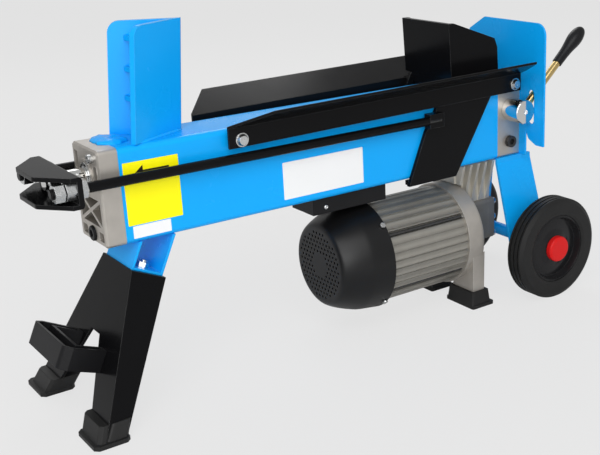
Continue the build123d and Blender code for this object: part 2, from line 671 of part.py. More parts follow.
with BuildPart() as fan_cover:
    with BuildSketch(motor_profile):
        with BuildLine():
            Polyline((FAN_COVER_FRONT, 0), (FAN_COVER_FRONT, FACE_RADIUS - 6))
            Spline(
                (FAN_COVER_FRONT, FACE_RADIUS - 6), (FAN_COVER_FRONT + 6, FACE_RADIUS + 3),
                (FAN_COVER_FRONT + 34, FAN_COVER_RADIUS - 6), (FAN_COVER_RIM, FAN_COVER_RADIUS),
                tangents=((0, 1), (1, 0.12)))
            Polyline(
                (FAN_COVER_RIM, FAN_COVER_RADIUS), (FAN_COVER_RIM, FAN_COVER_RADIUS - COVER_WALL))
            Spline(
                (FAN_COVER_RIM, FAN_COVER_RADIUS - COVER_WALL),
                (FAN_COVER_FRONT + 35, FAN_COVER_RADIUS - 6 - COVER_WALL),
                (FAN_COVER_FRONT + 7.6, FACE_RADIUS + 1), (FAN_COVER_FRONT + COVER_WALL, FACE_RADIUS - 7),
                tangents=((-1, -0.12), (0, -1)))
            Polyline(
                (FAN_COVER_FRONT + COVER_WALL, FACE_RADIUS - 7), (FAN_COVER_FRONT + COVER_WALL, 0),
                (FAN_COVER_FRONT, 0))
        make_face()
    revolve(axis=MOTOR_AXIS)
    with BuildSketch(across(FAN_COVER_FRONT - 0.5, 0, MOTOR_Z)):
        with Locations(*air_holes):
            Circle(AIR_HOLE_RADIUS)
    extrude(amount=COVER_WALL + 1, mode=Mode.SUBTRACT)
    for angle in MOTOR_CORNERS:
        with Locations(radial(FAN_SCREW_X, 60, angle)):
            Cylinder(2.0, 20.0, align=UP, mode=Mode.SUBTRACT)
fan_cover.part.label = "fan_cover"
export_step(fan_cover.part, "parts/fan_cover.step")

with BuildPart() as fan_cover_screws:
    for angle in MOTOR_CORNERS:
        with Locations(radial(FAN_SCREW_X, 66, angle)):
            Cylinder(2.0, 11.2, align=UP)
        with Locations(radial(FAN_SCREW_X, 77.2, angle)):
            Cylinder(3.8, 2.2, align=UP)

TIE_BOLT_REACH = 67.4
TIE_BOLT_RADIUS = 2.5
BOLT_CORNERS = (35, 145, 215, 325)

with BuildPart() as fan_side_shield:
    with Locations(across(FAN_SHIELD_X, 0, MOTOR_Z)):
        Cylinder(STATOR_RADIUS, FAN_COVER_RIM - FAN_SHIELD_X, align=UP)
    with Locations(across(FAN_SHIELD_X - 6, 0, MOTOR_Z)):
        Cylinder(22.0, 8.0, align=UP)
        Cylinder(BEARING_RADIUS, 20.0, align=UP, mode=Mode.SUBTRACT)
    for angle in MOTOR_CORNERS:
        with Locations(radial(FAN_SCREW_X, 66, angle)):
            Cylinder(2.0, 11.2, align=UP, mode=Mode.SUBTRACT)
    with BuildSketch(across(FAN_SHIELD_X, 0, MOTOR_Z)):
        with PolarLocations(42, 8, 22.5):
            Circle(9)
    extrude(amount=20, mode=Mode.SUBTRACT)
    for angle in BOLT_CORNERS:
        c, s = cos(radians(angle)), sin(radians(angle))
        with Locations(across(FAN_SHIELD_X, TIE_BOLT_REACH * c, MOTOR_Z + TIE_BOLT_REACH * s)):
            Cylinder(TIE_BOLT_RADIUS, 20.0, align=UP, mode=Mode.SUBTRACT)
fan_side_shield.part.label = "fan_side_shield"
export_step(fan_side_shield.part, "parts/fan_side_shield.step")

HOUSING_BORE = 60.0
RIB_GROOVES = 40

with BuildPart() as stator_housing:
    with BuildSketch(across(FAN_COVER_RIM, 0, MOTOR_Z)):
        Circle(STATOR_RADIUS)
        with PolarLocations(STATOR_RADIUS + 0.4, RIB_GROOVES, 4.5):
            Rectangle(3.6, 2.2, mode=Mode.SUBTRACT)
        for angle in BOLT_CORNERS:
            c, s = cos(radians(angle)), sin(radians(angle))
            with Locations(((STATOR_RADIUS - 2.5) * c, (STATOR_RADIUS - 2.5) * s)):
                Rectangle(9.0, 8.5, rotation=angle, mode=Mode.SUBTRACT)
        Circle(HOUSING_BORE, mode=Mode.SUBTRACT)
    extrude(amount=STATOR_END - FAN_COVER_RIM)
stator_housing.part.label = "stator_housing"
export_step(stator_housing.part, "parts/stator_housing.step")

CORE_START = 398.0
CORE_LENGTH = 90.0
CORE_BORE = 35.0
ROTOR_CORE = 34.6

with BuildPart() as wound_stator:
    with BuildSketch(across(CORE_START, 0, MOTOR_Z)):
        Circle(HOUSING_BORE)
        Circle(CORE_BORE, mode=Mode.SUBTRACT)
        with PolarLocations(46.0, 24):
            Rectangle(14, 3.4, mode=Mode.SUBTRACT)
    extrude(amount=CORE_LENGTH)
    for x in (CORE_START - 14, CORE_START + CORE_LENGTH):
        with BuildSketch(across(x, 0, MOTOR_Z)):
            Circle(55.0)
            Circle(39.0, mode=Mode.SUBTRACT)
        extrude(amount=14)
wound_stator.part.label = "wound_stator"
export_step(wound_stator.part, "parts/wound_stator.step")

FOOT_Z = 8.0

with BuildPart() as motor_end_shield:
    with Locations(across(STATOR_END, 0, MOTOR_Z)):
        Cylinder(74.0, SHIELD_END - STATOR_END, align=UP)
    fillet(motor_end_shield.edges().group_by(Axis.X)[-1], 6.0)
    with BuildSketch(across(519)):
        for side in (-1, 1):
            with BuildLine():
                Polyline(
                    (side * 71, 82), (side * 69.5, FOOT_Z), (side * 24, FOOT_Z), (side * 27, 45),
                    (side * 30, 60), close=True)
            make_face()
    extrude(amount=SHIELD_END - 519)
    with Locations(across(STATOR_END, 0, MOTOR_Z)):
        Cylinder(HOUSING_BORE, 18.0, align=UP, mode=Mode.SUBTRACT)
        Cylinder(BEARING_RADIUS, 60.0, align=UP, mode=Mode.SUBTRACT)
    for angle in BOLT_CORNERS:
        c, s = cos(radians(angle)), sin(radians(angle))
        with Locations(across(STATOR_END, TIE_BOLT_REACH * c, MOTOR_Z + TIE_BOLT_REACH * s)):
            Cylinder(TIE_BOLT_RADIUS, 20.0, align=UP, mode=Mode.SUBTRACT)
motor_end_shield.part.label = "motor_end_shield"
export_step(motor_end_shield.part, "parts/motor_end_shield.step")

with BuildPart() as motor_screws:
    for angle in BOLT_CORNERS:
        c, s = cos(radians(angle)), sin(radians(angle))
        with Locations(across(FAN_SHIELD_X, TIE_BOLT_REACH * c, MOTOR_Z + TIE_BOLT_REACH * s)):
            Cylinder(TIE_BOLT_RADIUS, STATOR_END + 18 - FAN_SHIELD_X, align=UP)
        with BuildSketch(across(FAN_SHIELD_X, (TIE_BOLT_REACH - 1) * c, MOTOR_Z + (TIE_BOLT_REACH - 1) * s)):
            RegularPolygon(4.4, 6)
        extrude(amount=-4)
    add(fan_cover_screws.part)
motor_screws.part.label = "motor_screws"
export_step(motor_screws.part, "parts/motor_screws.step")

with BuildPart() as motor_bearings:
    for x in (FAN_SHIELD_X - 4, SHIELD_END - 12):
        with Locations(across(x, 0, MOTOR_Z)):
            Cylinder(BEARING_RADIUS, 12.0, align=UP)
            Cylinder(SHAFT_RADIUS + 0.03, 12.0, align=UP, mode=Mode.SUBTRACT)
motor_bearings.part.label = "motor_bearings"
export_step(motor_bearings.part, "parts/motor_bearings.step")

with BuildPart() as motor_boots:
    for side in (-1, 1):
        with BuildSketch(level(4)):
            with Locations((530.5, side * 47.0)):
                RectangleRounded(36, 58, 4)
        extrude(amount=20, taper=9)
        with BuildSketch(level(0)):
            with Locations((532.5, side * 47.0)):
                RectangleRounded(40, 61, 3)
        extrude(amount=5)
    add(motor_end_shield.part, mode=Mode.SUBTRACT)
motor_boots.part.label = "motor_boots"
export_step(motor_boots.part, "parts/motor_boots.step")

# ------------------------------------------------------------------------ pump and manifold
PUMP_WIDTH = 50.0
PUMP_LOW = 78.5
PUMP_TOP = 140.5
PUMP_MID = (PUMP_LOW + PUMP_TOP) / 2
GEAR_X = 562.0
GEAR_WIDTH = 20.0
PUMP_SHAFT = 5.0
GEAR_CLEARANCE = 0.1
DRIVEN_Z = MOTOR_Z + GEAR_CENTRES
PUMP_BOLTS = [(y, z) for y in (-20.0, 20.0) for z in (84.5, 110.8, 134.5)]

with BuildPart() as pump_housing:
    with BuildSketch(across(SHIELD_END, 0, PUMP_MID)):
        RectangleRounded(PUMP_WIDTH, PUMP_TOP - PUMP_LOW, 6)
    extrude(amount=PUMP_COVER_X - SHIELD_END)
    for z in (MOTOR_Z, DRIVEN_Z):
        with Locations(across(GEAR_X, 0, z)):
            Cylinder(GEAR_TIP + GEAR_CLEARANCE, PUMP_COVER_X - GEAR_X, align=UP, mode=Mode.SUBTRACT)
        with Locations(across(SHIELD_END, 0, z)):
            Cylinder(PUMP_SHAFT + RUNNING_FIT, GEAR_X - SHIELD_END, align=UP, mode=Mode.SUBTRACT)
    for y, z in PUMP_BOLTS:
        with Locations(across(PUMP_COVER_X - 14, y, z)):
            Cylinder(2.5, 14.0, align=UP, mode=Mode.SUBTRACT)
pump_housing.part.label = "pump_housing"
export_step(pump_housing.part, "parts/pump_housing.step")

with BuildPart() as pump_cover:
    with BuildSketch(across(PUMP_COVER_X, 0, PUMP_MID)):
        RectangleRounded(PUMP_WIDTH, PUMP_TOP - PUMP_LOW, 6)
    extrude(amount=PUMP_END - PUMP_COVER_X)
    for z in (MOTOR_Z, DRIVEN_Z):
        with Locations(across(PUMP_COVER_X, 0, z)):
            Cylinder(PUMP_SHAFT + RUNNING_FIT, 8.0, align=UP, mode=Mode.SUBTRACT)
    for y, z in PUMP_BOLTS:
        with Locations(across(PUMP_COVER_X, y, z)):
            Cylinder(2.5, 14.0, align=UP, mode=Mode.SUBTRACT)
pump_cover.part.label = "pump_cover"
export_step(pump_cover.part, "parts/pump_cover.step")

with BuildPart() as pump_cover_bolts:
    for y, z in PUMP_BOLTS:
        with Locations(across(PUMP_COVER_X - 14, y, z)):
            Cylinder(2.5, PUMP_END - PUMP_COVER_X + 14, align=UP)
        with BuildSketch(across(PUMP_END, y, z)):
            RegularPolygon(4.8, 6)
        extrude(amount=4)
pump_cover_bolts.part.label = "pump_cover_bolts"
export_step(pump_cover_bolts.part, "parts/pump_cover_bolts.step")

FIN_PLATE = 4.0
FIN_PITCH = 14.0
FIN_START = 530.0
MANIFOLD_FRONT = 528.0
MANIFOLD_LOW = 173.5

with BuildPart() as manifold_block:
    with BuildSketch(beside(19)):
        with BuildLine():
            Polyline(
                (MANIFOLD_FRONT, BEAM_LOW), (BEAM_END - 0.5, BEAM_LOW), (BEAM_END - 0.5, PUMP_TOP),
                (SHIELD_END + 1, PUMP_TOP), (SHIELD_END + 1, MANIFOLD_LOW),
                (MANIFOLD_FRONT, MANIFOLD_LOW), close=True)
        make_face()
    extrude(amount=38)
    for fin in range(5):
        fin_x = FIN_START + fin * FIN_PITCH
        fin_low = MANIFOLD_LOW if fin_x < SHIELD_END + 1 else PUMP_TOP
        fin_half = 37 - 0.28 * (BEAM_LOW - fin_low)
        with BuildSketch(across(fin_x)):
            with BuildLine():
                Polyline(
                    (-37, BEAM_LOW), (37, BEAM_LOW), (fin_half, fin_low), (-fin_half, fin_low),
                    close=True)
            make_face()
        extrude(amount=FIN_PLATE)
manifold_block.part.label = "manifold_block"
export_step(manifold_block.part, "parts/manifold_block.step")

# ---------------------------------------------------------------------- switch and inlet
BOX_START = 283.0
BOX_END = 400.0
BOX_NECK_LOW = 179.0
BOX_LOW = 160.0
BOX_TOP = 192.0
BOX_FAR = 88.0
WIDE_START = 345.0
BUTTON_Z = 176.0
BUTTON_RADIUS = 9.0
INLET_Y = 72.0
BUTTONS = (("on_button", 358.0), ("off_button", 384.0))

with BuildPart() as switch_box:
    with BuildSketch(across(BOX_START)):
        with Locations((0, (BOX_NECK_LOW + BEAM_LOW) / 2)):
            Rectangle(52, BEAM_LOW - BOX_NECK_LOW)
    extrude(amount=BOX_END - BOX_START)
    with BuildSketch(across(WIDE_START)):
        with Locations(((20 + BOX_FAR) / 2, (BOX_LOW + BOX_TOP) / 2)):
            Rectangle(BOX_FAR - 20, BOX_TOP - BOX_LOW)
    extrude(amount=BOX_END - WIDE_START)
    with Locations(across(BOX_START - 1, 0, MOTOR_Z)):
        Cylinder(FAN_COVER_RADIUS + 3.5, BOX_END - BOX_START + 2, align=UP, mode=Mode.SUBTRACT)
    for button_name, x in BUTTONS:
        with Locations(beside(BOX_FAR + 1, x, BUTTON_Z)):
            Cylinder(BUTTON_RADIUS + 0.08, 9.0, align=UP, mode=Mode.SUBTRACT)
    with Locations(across(BOX_END - 7, INLET_Y, BUTTON_Z)):
        Cylinder(12.0, 8.0, align=UP, mode=Mode.SUBTRACT)
switch_box.part.label = "switch_box"
export_step(switch_box.part, "parts/switch_box.step")

for button_name, x in BUTTONS:
    with BuildPart() as button:
        with Locations(beside(BOX_FAR + 4, x, BUTTON_Z)):
            Cylinder(BUTTON_RADIUS, 8.0, align=UP)
        chamfer(button.edges().group_by(Axis.Y)[-1], 1.0)
    button.part.label = button_name
    export_step(button.part, f"parts/{button_name}.step")

INLET_LENGTH = 27.0
with BuildPart() as power_inlet:
    with Locations(across(BOX_END - 7, INLET_Y, BUTTON_Z)):
        Cylinder(12.0, INLET_LENGTH, align=UP)
    with Locations(across(BOX_END + 1, INLET_Y, BUTTON_Z)):
        Cylinder(9.5, INLET_LENGTH - 8, align=UP, mode=Mode.SUBTRACT)
        with PolarLocations(5.0, 3):
            Cylinder(1.6, INLET_LENGTH - 8, align=UP)
power_inlet.part.label = "power_inlet"
export_step(power_inlet.part, "parts/power_inlet.step")

# ------------------------------------------------------------------- ram: rod, yoke, pusher
with BuildPart() as piston:
    with Locations(across(PISTON_FRONT, 0, RAM_Z)):
        Cylinder(BARREL_INNER - 0.06, PISTON_LENGTH, align=UP)
        Cylinder(ROD_NECK, PISTON_LENGTH, align=UP, mode=Mode.SUBTRACT)
    with BuildSketch(across(PISTON_FRONT + 10, 0, RAM_Z)):
        Circle(BARREL_INNER + 1)
        Circle(BARREL_INNER - 4, mode=Mode.SUBTRACT)
    extrude(amount=10, mode=Mode.SUBTRACT)
piston.part.label = "piston"
export_step(piston.part, "parts/piston.step")

with BuildPart() as piston_seal:
    with BuildSketch(across(PISTON_FRONT + 10, 0, RAM_Z)):
        Circle(BARREL_INNER - 0.03)
        Circle(BARREL_INNER - 4, mode=Mode.SUBTRACT)
    extrude(amount=10)
piston_seal.part.label = "piston_seal"
export_step(piston_seal.part, "parts/piston_seal.step")

ROD_TIP = -50.0
with BuildPart() as piston_rod:
    with Locations(across(ROD_TIP, 0, RAM_Z)):
        Cylinder(ROD_NECK, PISTON_FRONT + PISTON_LENGTH + 10 - ROD_TIP, align=UP)
    with Locations(across(YOKE_FACE + YOKE_PLATE, 0, RAM_Z)):
        Cylinder(ROD_RADIUS, PISTON_FRONT - YOKE_FACE - YOKE_PLATE, align=UP)
piston_rod.part.label = "piston_rod"
export_step(piston_rod.part, "parts/piston_rod.step")

YOKE_LOW = 262.5
YOKE_TOP = 298.5
FLANGE = 5.0

with BuildPart() as yoke:
    with BuildSketch(level(YOKE_LOW)):
        with BuildLine():
            Polyline(
                (YOKE_FACE + YOKE_PLATE, -62), (YOKE_FACE + YOKE_PLATE, 62), (YOKE_FACE - 7, 62),
                (-70, 27), (-70, -27), (YOKE_FACE - 7, -62), close=True)
        make_face()
    extrude(amount=YOKE_TOP - YOKE_LOW)
    fillet(yoke.edges().filter_by(Axis.Z).group_by(Axis.X)[0], 8.0)
    with BuildSketch(level(YOKE_LOW + FLANGE)):
        with Locations((YOKE_FACE - 50, 0)):
            Rectangle(100, 140)
    extrude(amount=YOKE_TOP - YOKE_LOW - 2 * FLANGE, mode=Mode.SUBTRACT)
    fillet(yoke.edges().filter_by(Axis.Y).group_by(Axis.X)[-1], 4.0)
    with Locations(across(YOKE_FACE - 2, 0, RAM_Z)):
        Cylinder(ROD_NECK, 20.0, align=UP, mode=Mode.SUBTRACT)
    for side in (-1, 1):
        with Locations(across(YOKE_FACE - 2, side * PULL_ROD_Y, RAM_Z)):
            Cylinder(PULL_ROD_RADIUS, 20.0, align=UP, mode=Mode.SUBTRACT)
yoke.part.label = "yoke"
export_step(yoke.part, "parts/yoke.step")

with BuildPart() as ram_nuts:
    for side in (-1, 1):
        for x, depth in ((YOKE_FACE - 11, 11), (YOKE_FACE - 23.5, 11), (YOKE_FACE + YOKE_PLATE, 7)):
            with BuildSketch(across(x, side * PULL_ROD_Y, RAM_Z)):
                RegularPolygon(11.0, 6)
                Circle(PULL_ROD_RADIUS, mode=Mode.SUBTRACT)
            extrude(amount=depth)
    with BuildSketch(across(YOKE_FACE - 12, 0, RAM_Z)):
        RegularPolygon(12.5, 6)
        Circle(ROD_NECK, mode=Mode.SUBTRACT)
    extrude(amount=12)
    with BuildSketch(across(PISTON_FRONT + PISTON_LENGTH, 0, RAM_Z)):
        RegularPolygon(13.5, 6)
        Circle(ROD_NECK, mode=Mode.SUBTRACT)
    extrude(amount=9)
ram_nuts.part.label = "ram_nuts"
export_step(ram_nuts.part, "parts/ram_nuts.step")

PULL_ROD_TIP = -61.0
PULL_ROD_END = 476.0
LUG_START = 456.0
LUG_END = 480.0

with BuildPart() as pull_rods:
    for side in (-1, 1):
        with Locations(across(PULL_ROD_TIP, side * PULL_ROD_Y, RAM_Z)):
            Cylinder(PULL_ROD_RADIUS, PULL_ROD_END - PULL_ROD_TIP, align=UP)
    chamfer(pull_rods.edges().group_by(Axis.X)[0], 1.2)
pull_rods.part.label = "pull_rods"
export_step(pull_rods.part, "parts/pull_rods.step")

PUSHER_LEAN = -4.0
PUSHER_LOW = 333.0
FLANGE_END = 583.0

with BuildPart() as pusher_head:
    with BuildSketch(level(PUSHER_LOW)):
        with BuildLine():
            Polyline(
                (PUSHER_FACE, -PUSHER_HALF), (FLANGE_END, -PUSHER_HALF), (FLANGE_END, -PUSHER_HALF + 5),
                (PUSHER_FACE + 6, -PUSHER_HALF + 5), (PUSHER_FACE + 6, PUSHER_HALF - 5),
                (FLANGE_END, PUSHER_HALF - 5), (FLANGE_END, PUSHER_HALF), (PUSHER_FACE, PUSHER_HALF),
                close=True)
        make_face()
    extrude(amount=hypot(PUSHER_LEAN, PUSHER_TOP - PUSHER_LOW),
            dir=(PUSHER_LEAN, 0, PUSHER_TOP - PUSHER_LOW))
    with BuildSketch(beside(100)):
        with BuildLine():
            Polyline((PUSHER_FACE + 5, 430), (PUSHER_FACE + 5, 408), (576, 381), (583, 364), (600, 364),
                     (600, 430), close=True)
        make_face()
    extrude(amount=200, mode=Mode.SUBTRACT)
    with BuildSketch(across(PUSHER_FACE)):
        with BuildLine():
            Polyline((-36.5, PUSHER_LOW), (36.5, PUSHER_LOW), (36.5, 320), (-36.5, 320), close=True)
        make_face()
    extrude(amount=6)
pusher_head.part.label = "pusher_head"
export_step(pusher_head.part, "parts/pusher_head.step")

PLATE_LOW = 194.0

with BuildPart() as pusher_sides:
    for side in (-1, 1):
        with BuildSketch(beside(-SIDE_PLATE_Y if side < 0 else SIDE_PLATE_Y + SIDE_PLATE)):
            with BuildLine():
                Polyline(
                    (PUSHER_FACE + 3.3, 385), (PUSHER_FACE + 6.1, 332.5), (497.5, 332.5), (476, 292),
                    (458, 264), (428, PLATE_LOW), (511, PLATE_LOW), (577, 300), (578, 370), close=True)
            make_face()
        extrude(amount=SIDE_PLATE)
        with BuildSketch(level(PLATE_LOW)):
            with Locations((469.5, side * (SIDE_PLATE_Y - 4))):
                Rectangle(76, 8)
        extrude(amount=6.5)
        with BuildSketch(across(LUG_START)):
            with Locations((side * (SIDE_PLATE_Y + SIDE_PLATE + 6.5), RAM_Z)):
                Rectangle(13, 19)
        extrude(amount=LUG_END - LUG_START)
        with Locations(across(LUG_START - 20, side * PULL_ROD_Y, RAM_Z)):
            Cylinder(PULL_ROD_RADIUS, PULL_ROD_END - LUG_START + 20, align=UP, mode=Mode.SUBTRACT)
pusher_sides.part.label = "pusher_sides"
export_step(pusher_sides.part, "parts/pusher_sides.step")

with BuildPart() as pusher_slide:
    with BuildSketch(level(BEAM_TOP + 0.4)):
        with Locations((PUSHER_FACE + 6 + 35, 0)):
            RectangleRounded(70, 2 * SIDE_PLATE_Y, 1.0)
    extrude(amount=7)
pusher_slide.part.label = "pusher_slide"
export_step(pusher_slide.part, "parts/pusher_slide.step")

# ---------------------------------------------------------------------------------- lever
lever_c = cos(radians(LEVER_ANGLE))
lever_s = sin(radians(LEVER_ANGLE))
LEVER_ROOT = 9.0
GRIP_START = 92.0
GRIP_END = 160.5


def along_lever(reach):
    """Plane square to the lever's rod, that far out from the hub's axis."""
    return Plane(
        origin=(FRONT_X + HUB_X + reach * lever_c, -LEVER_Y, HUB_Z + reach * lever_s),
        x_dir=(0, 1, 0), z_dir=(lever_c, 0, lever_s))


with BuildPart() as lever_hub:
    with Locations(beside(-HALF - 0.4, HUB_X, HUB_Z)):
        Cylinder(HUB_RADIUS, 31.6, align=UP)
    chamfer(lever_hub.edges().group_by(Axis.Y)[0], 1.0)
    with Locations(beside(-69.2, HUB_X, HUB_Z)):
        Sphere(3.2, mode=Mode.SUBTRACT)
    with Locations(along_lever(LEVER_ROOT)):
        Cylinder(LEVER_RADIUS, 20.0, align=UP, mode=Mode.SUBTRACT)
    with Locations(beside(SPINDLE_REACH - 0.5, HUB_X, HUB_Z)):
        Cylinder(SPINDLE_RADIUS, SPINDLE_REACH - 0.5 + HALF + 0.4, align=UP)
    with Locations(across(HUB_X, 0, HUB_Z + SPINDLE_RADIUS)):
        Box(8, 8, 8, mode=Mode.SUBTRACT)
lever_hub.part.label = "lever_hub"
export_step(lever_hub.part, "parts/lever_hub.step")

with BuildPart() as lever_rod:
    with Locations(along_lever(LEVER_ROOT)):
        Cylinder(LEVER_RADIUS, GRIP_START + 30 - LEVER_ROOT, align=UP)
lever_rod.part.label = "lever_rod"
export_step(lever_rod.part, "parts/lever_rod.step")

grip_profile = Plane(
    origin=(FRONT_X + HUB_X, -LEVER_Y, HUB_Z), x_dir=(lever_c, 0, lever_s), z_dir=(0, -1, 0))
grip_axis = Axis((FRONT_X + HUB_X, -LEVER_Y, HUB_Z), (lever_c, 0, lever_s))
with BuildPart() as lever_grip:
    with BuildSketch(grip_profile):
        with BuildLine():
            Polyline((GRIP_START, LEVER_RADIUS), (GRIP_START, 7.2))
            Spline((GRIP_START, 7.2), (GRIP_START + 30, 8.6), (GRIP_END - 14, 10.2), (GRIP_END, 0),
                   tangents=((1, 0.02), (0, -1)))
            Polyline((GRIP_END, 0), (GRIP_START + 30, 0), (GRIP_START + 30, LEVER_RADIUS),
                     (GRIP_START, LEVER_RADIUS))
        make_face()
    revolve(axis=grip_axis)
lever_grip.part.label = "lever_grip"
export_step(lever_grip.part, "parts/lever_grip.step")

# ------------------------------------------------------------------- rotor, fan and gears
with BuildPart() as rotor:
    with Locations(across(322, 0, MOTOR_Z)):
        Cylinder(SHAFT_RADIUS, SHIELD_END - 1 - 322, align=UP)
    with Locations(across(SHIELD_END - 2, 0, MOTOR_Z)):
        Cylinder(PUMP_SHAFT, PUMP_COVER_X + 7 - SHIELD_END + 2, align=UP)
    with Locations(across(CORE_START, 0, MOTOR_Z)):
        Cylinder(ROTOR_CORE, CORE_LENGTH, align=UP)
rotor.part.label = "rotor"
export_step(rotor.part, "parts/rotor.step")

FAN_X = 326.0
with BuildPart() as cooling_fan:
    with BuildSketch(across(FAN_X, 0, MOTOR_Z)):
        Circle(15)
        Circle(SHAFT_RADIUS, mode=Mode.SUBTRACT)
    extrude(amount=24)
    with BuildSketch(across(FAN_X + 20, 0, MOTOR_Z)):
        Circle(58)
        Circle(14, mode=Mode.SUBTRACT)
    extrude(amount=3)
    with BuildSketch(across(FAN_X + 4, 0, MOTOR_Z)):
        with PolarLocations(36, 8):
            Rectangle(44, 3)
    extrude(amount=17)
cooling_fan.part.label = "cooling_fan"
export_step(cooling_fan.part, "parts/cooling_fan.step")

TOOTH_ROOT_HALF = 6.2
TOOTH_TIP_HALF = 2.6
TOOTH_STEP = 360 / GEAR_TEETH


def gear_outline(first_tooth):
    """Corner points of a spur gear whose first tooth is centred on that angle."""
    points = []
    for tooth in range(GEAR_TEETH):
        middle = first_tooth + tooth * TOOTH_STEP
        for radius, offset_angle in (
                (GEAR_ROOT, -TOOTH_ROOT_HALF), (GEAR_TIP, -TOOTH_TIP_HALF),
                (GEAR_TIP, TOOTH_TIP_HALF), (GEAR_ROOT, TOOTH_ROOT_HALF)):
            angle = radians(middle + offset_angle)
            points.append((radius * cos(angle), radius * sin(angle)))
    return points


with BuildPart() as pump_drive_gear:
    with BuildSketch(across(GEAR_X + 0.1, 0, MOTOR_Z)):
        with BuildLine():
            Polyline(*gear_outline(90), close=True)
        make_face()
        Circle(PUMP_SHAFT, mode=Mode.SUBTRACT)
    extrude(amount=GEAR_WIDTH)
pump_drive_gear.part.label = "pump_drive_gear"
export_step(pump_drive_gear.part, "parts/pump_drive_gear.step")

with BuildPart() as pump_driven_gear:
    with BuildSketch(across(GEAR_X + 0.1, 0, DRIVEN_Z)):
        with BuildLine():
            Polyline(*gear_outline(-90 + TOOTH_STEP / 2), close=True)
        make_face()
    extrude(amount=GEAR_WIDTH)
    with Locations(across(GEAR_X - 12, 0, DRIVEN_Z)):
        Cylinder(PUMP_SHAFT, PUMP_COVER_X + 7 - GEAR_X + 12, align=UP)
pump_driven_gear.part.label = "pump_driven_gear"
export_step(pump_driven_gear.part, "parts/pump_driven_gear.step")
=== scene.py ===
"""Finishes, welds, labels and stage of a horizontal electric log splitter, on its fixed model."""
import random
from math import cos, pi, sin

import bpy
from bpy.props import FloatProperty, FloatVectorProperty, PointerProperty
from bpy.types import Operator, Panel, PropertyGroup
from mathutils import Matrix, Vector, noise


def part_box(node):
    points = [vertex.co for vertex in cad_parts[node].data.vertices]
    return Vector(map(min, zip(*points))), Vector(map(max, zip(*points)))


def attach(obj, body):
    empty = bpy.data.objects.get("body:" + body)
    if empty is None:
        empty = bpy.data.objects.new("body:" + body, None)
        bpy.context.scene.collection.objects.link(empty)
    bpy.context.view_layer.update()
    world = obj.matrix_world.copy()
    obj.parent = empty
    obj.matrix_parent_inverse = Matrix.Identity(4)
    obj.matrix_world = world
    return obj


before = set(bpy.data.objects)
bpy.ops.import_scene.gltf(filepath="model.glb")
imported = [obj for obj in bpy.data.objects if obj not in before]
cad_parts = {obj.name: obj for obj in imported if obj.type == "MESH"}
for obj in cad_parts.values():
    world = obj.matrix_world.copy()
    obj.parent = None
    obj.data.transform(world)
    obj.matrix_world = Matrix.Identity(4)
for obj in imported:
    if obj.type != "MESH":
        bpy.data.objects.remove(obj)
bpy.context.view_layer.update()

bl_info = {
    "name": "Log Splitter Finishes",
    "version": (1, 0, 0),
    "blender": (4, 5, 0),
    "location": "View3D > Sidebar > Log Splitter",
    "description": "Finishes, welds, labels and stage of a horizontal log splitter",
    "category": "Object",
}

MM = 0.001
BEAM_LOW, BEAM_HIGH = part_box("beam_tank")
COVER_DEPTH = 24.0 * MM
FRONT = BEAM_LOW[0] - COVER_DEPTH
HALF = BEAM_HIGH[1]
BEAM_TOP = BEAM_HIGH[2]
MOTOR_HEIGHT = 98.8 * MM


def place(x, y, z):
    """Point at x behind the front cover, y across and z up, all in millimetres."""
    return Vector((FRONT + x * MM, y * MM, z * MM))


# ------------------------------------------------------------------------------ settings
def colour_prop(name, description, default):
    return FloatVectorProperty(
        name=name, description=description, default=default, subtype="COLOR", size=3, min=0, max=1)


def length_prop(name, description, default):
    return FloatProperty(name=name, description=description, default=default, unit="LENGTH", min=0)


def power_prop(name, description, default):
    return FloatProperty(name=name, description=description, default=default, unit="POWER", min=0)


class SplitterPaint(PropertyGroup):
    """Colours of the painted, cast, plated and moulded parts."""
    blue: colour_prop("Blue", "Enamel of the beam, wedge and guard plate", (0.003, 0.385, 0.93))
    black: colour_prop("Black", "Gloss enamel of the rails, pusher, rods and leg", (0.0045, 0.0045, 0.005))
    cast: colour_prop("Cast aluminium", "Covers and valve block", (0.50, 0.47, 0.43))
    ribbed: colour_prop("Ribbed aluminium", "Motor housing and manifold", (0.34, 0.325, 0.29))
    zinc: colour_prop("Zinc", "Bolts, nuts and washers", (0.62, 0.63, 0.63))
    yellow_zinc: colour_prop("Yellow zinc", "Lever rod", (0.62, 0.46, 0.20))
    iron: colour_prop("Iron", "Pump", (0.17, 0.165, 0.15))
    plastic: colour_prop("Plastic", "Switch box and carry handle", (0.010, 0.010, 0.011))
    rubber: colour_prop("Rubber", "Tyres and boots", (0.012, 0.012, 0.012))
    red: colour_prop("Red", "Hub caps and off button", (0.62, 0.012, 0.012))
    green: colour_prop("Green", "On button", (0.02, 0.26, 0.05))
    # Pale colour of the cooling fan: a guessed fan colour that also paints bright glints into the fan cover's
    # holes.
    pale_fan_glints: colour_prop("Pale fan plastic with painted glints", "Cooling fan", (0.55, 0.55, 0.53))
    chrome: colour_prop("Chrome", "Piston rod and lever hub", (0.70, 0.70, 0.69))
    steel: colour_prop("Steel", "Turned and rolled steel inside the machine", (0.36, 0.36, 0.36))
    dark: colour_prop("Dark screws", "Side screws of the valve block", (0.008, 0.008, 0.008))
    shank: colour_prop("Dark shanks", "Bare lengths of the motor's tie bolts", (0.03, 0.03, 0.03))


class SplitterWelds(PropertyGroup):
    """Sizes of the weld beads."""
    bead: length_prop("Bead radius", "Half width of the beads along the wedge", 2.4 * MM)
    gusset_bead: length_prop("Gusset bead radius", "Half width of the beads along the gussets", 2.0 * MM)
    ripple: length_prop("Ripple pitch", "Distance from one ripple to the next", 2.2 * MM)
    pool: length_prop("Pool height", "Height of the run-out weld at the wedge's foot", 6.0 * MM)


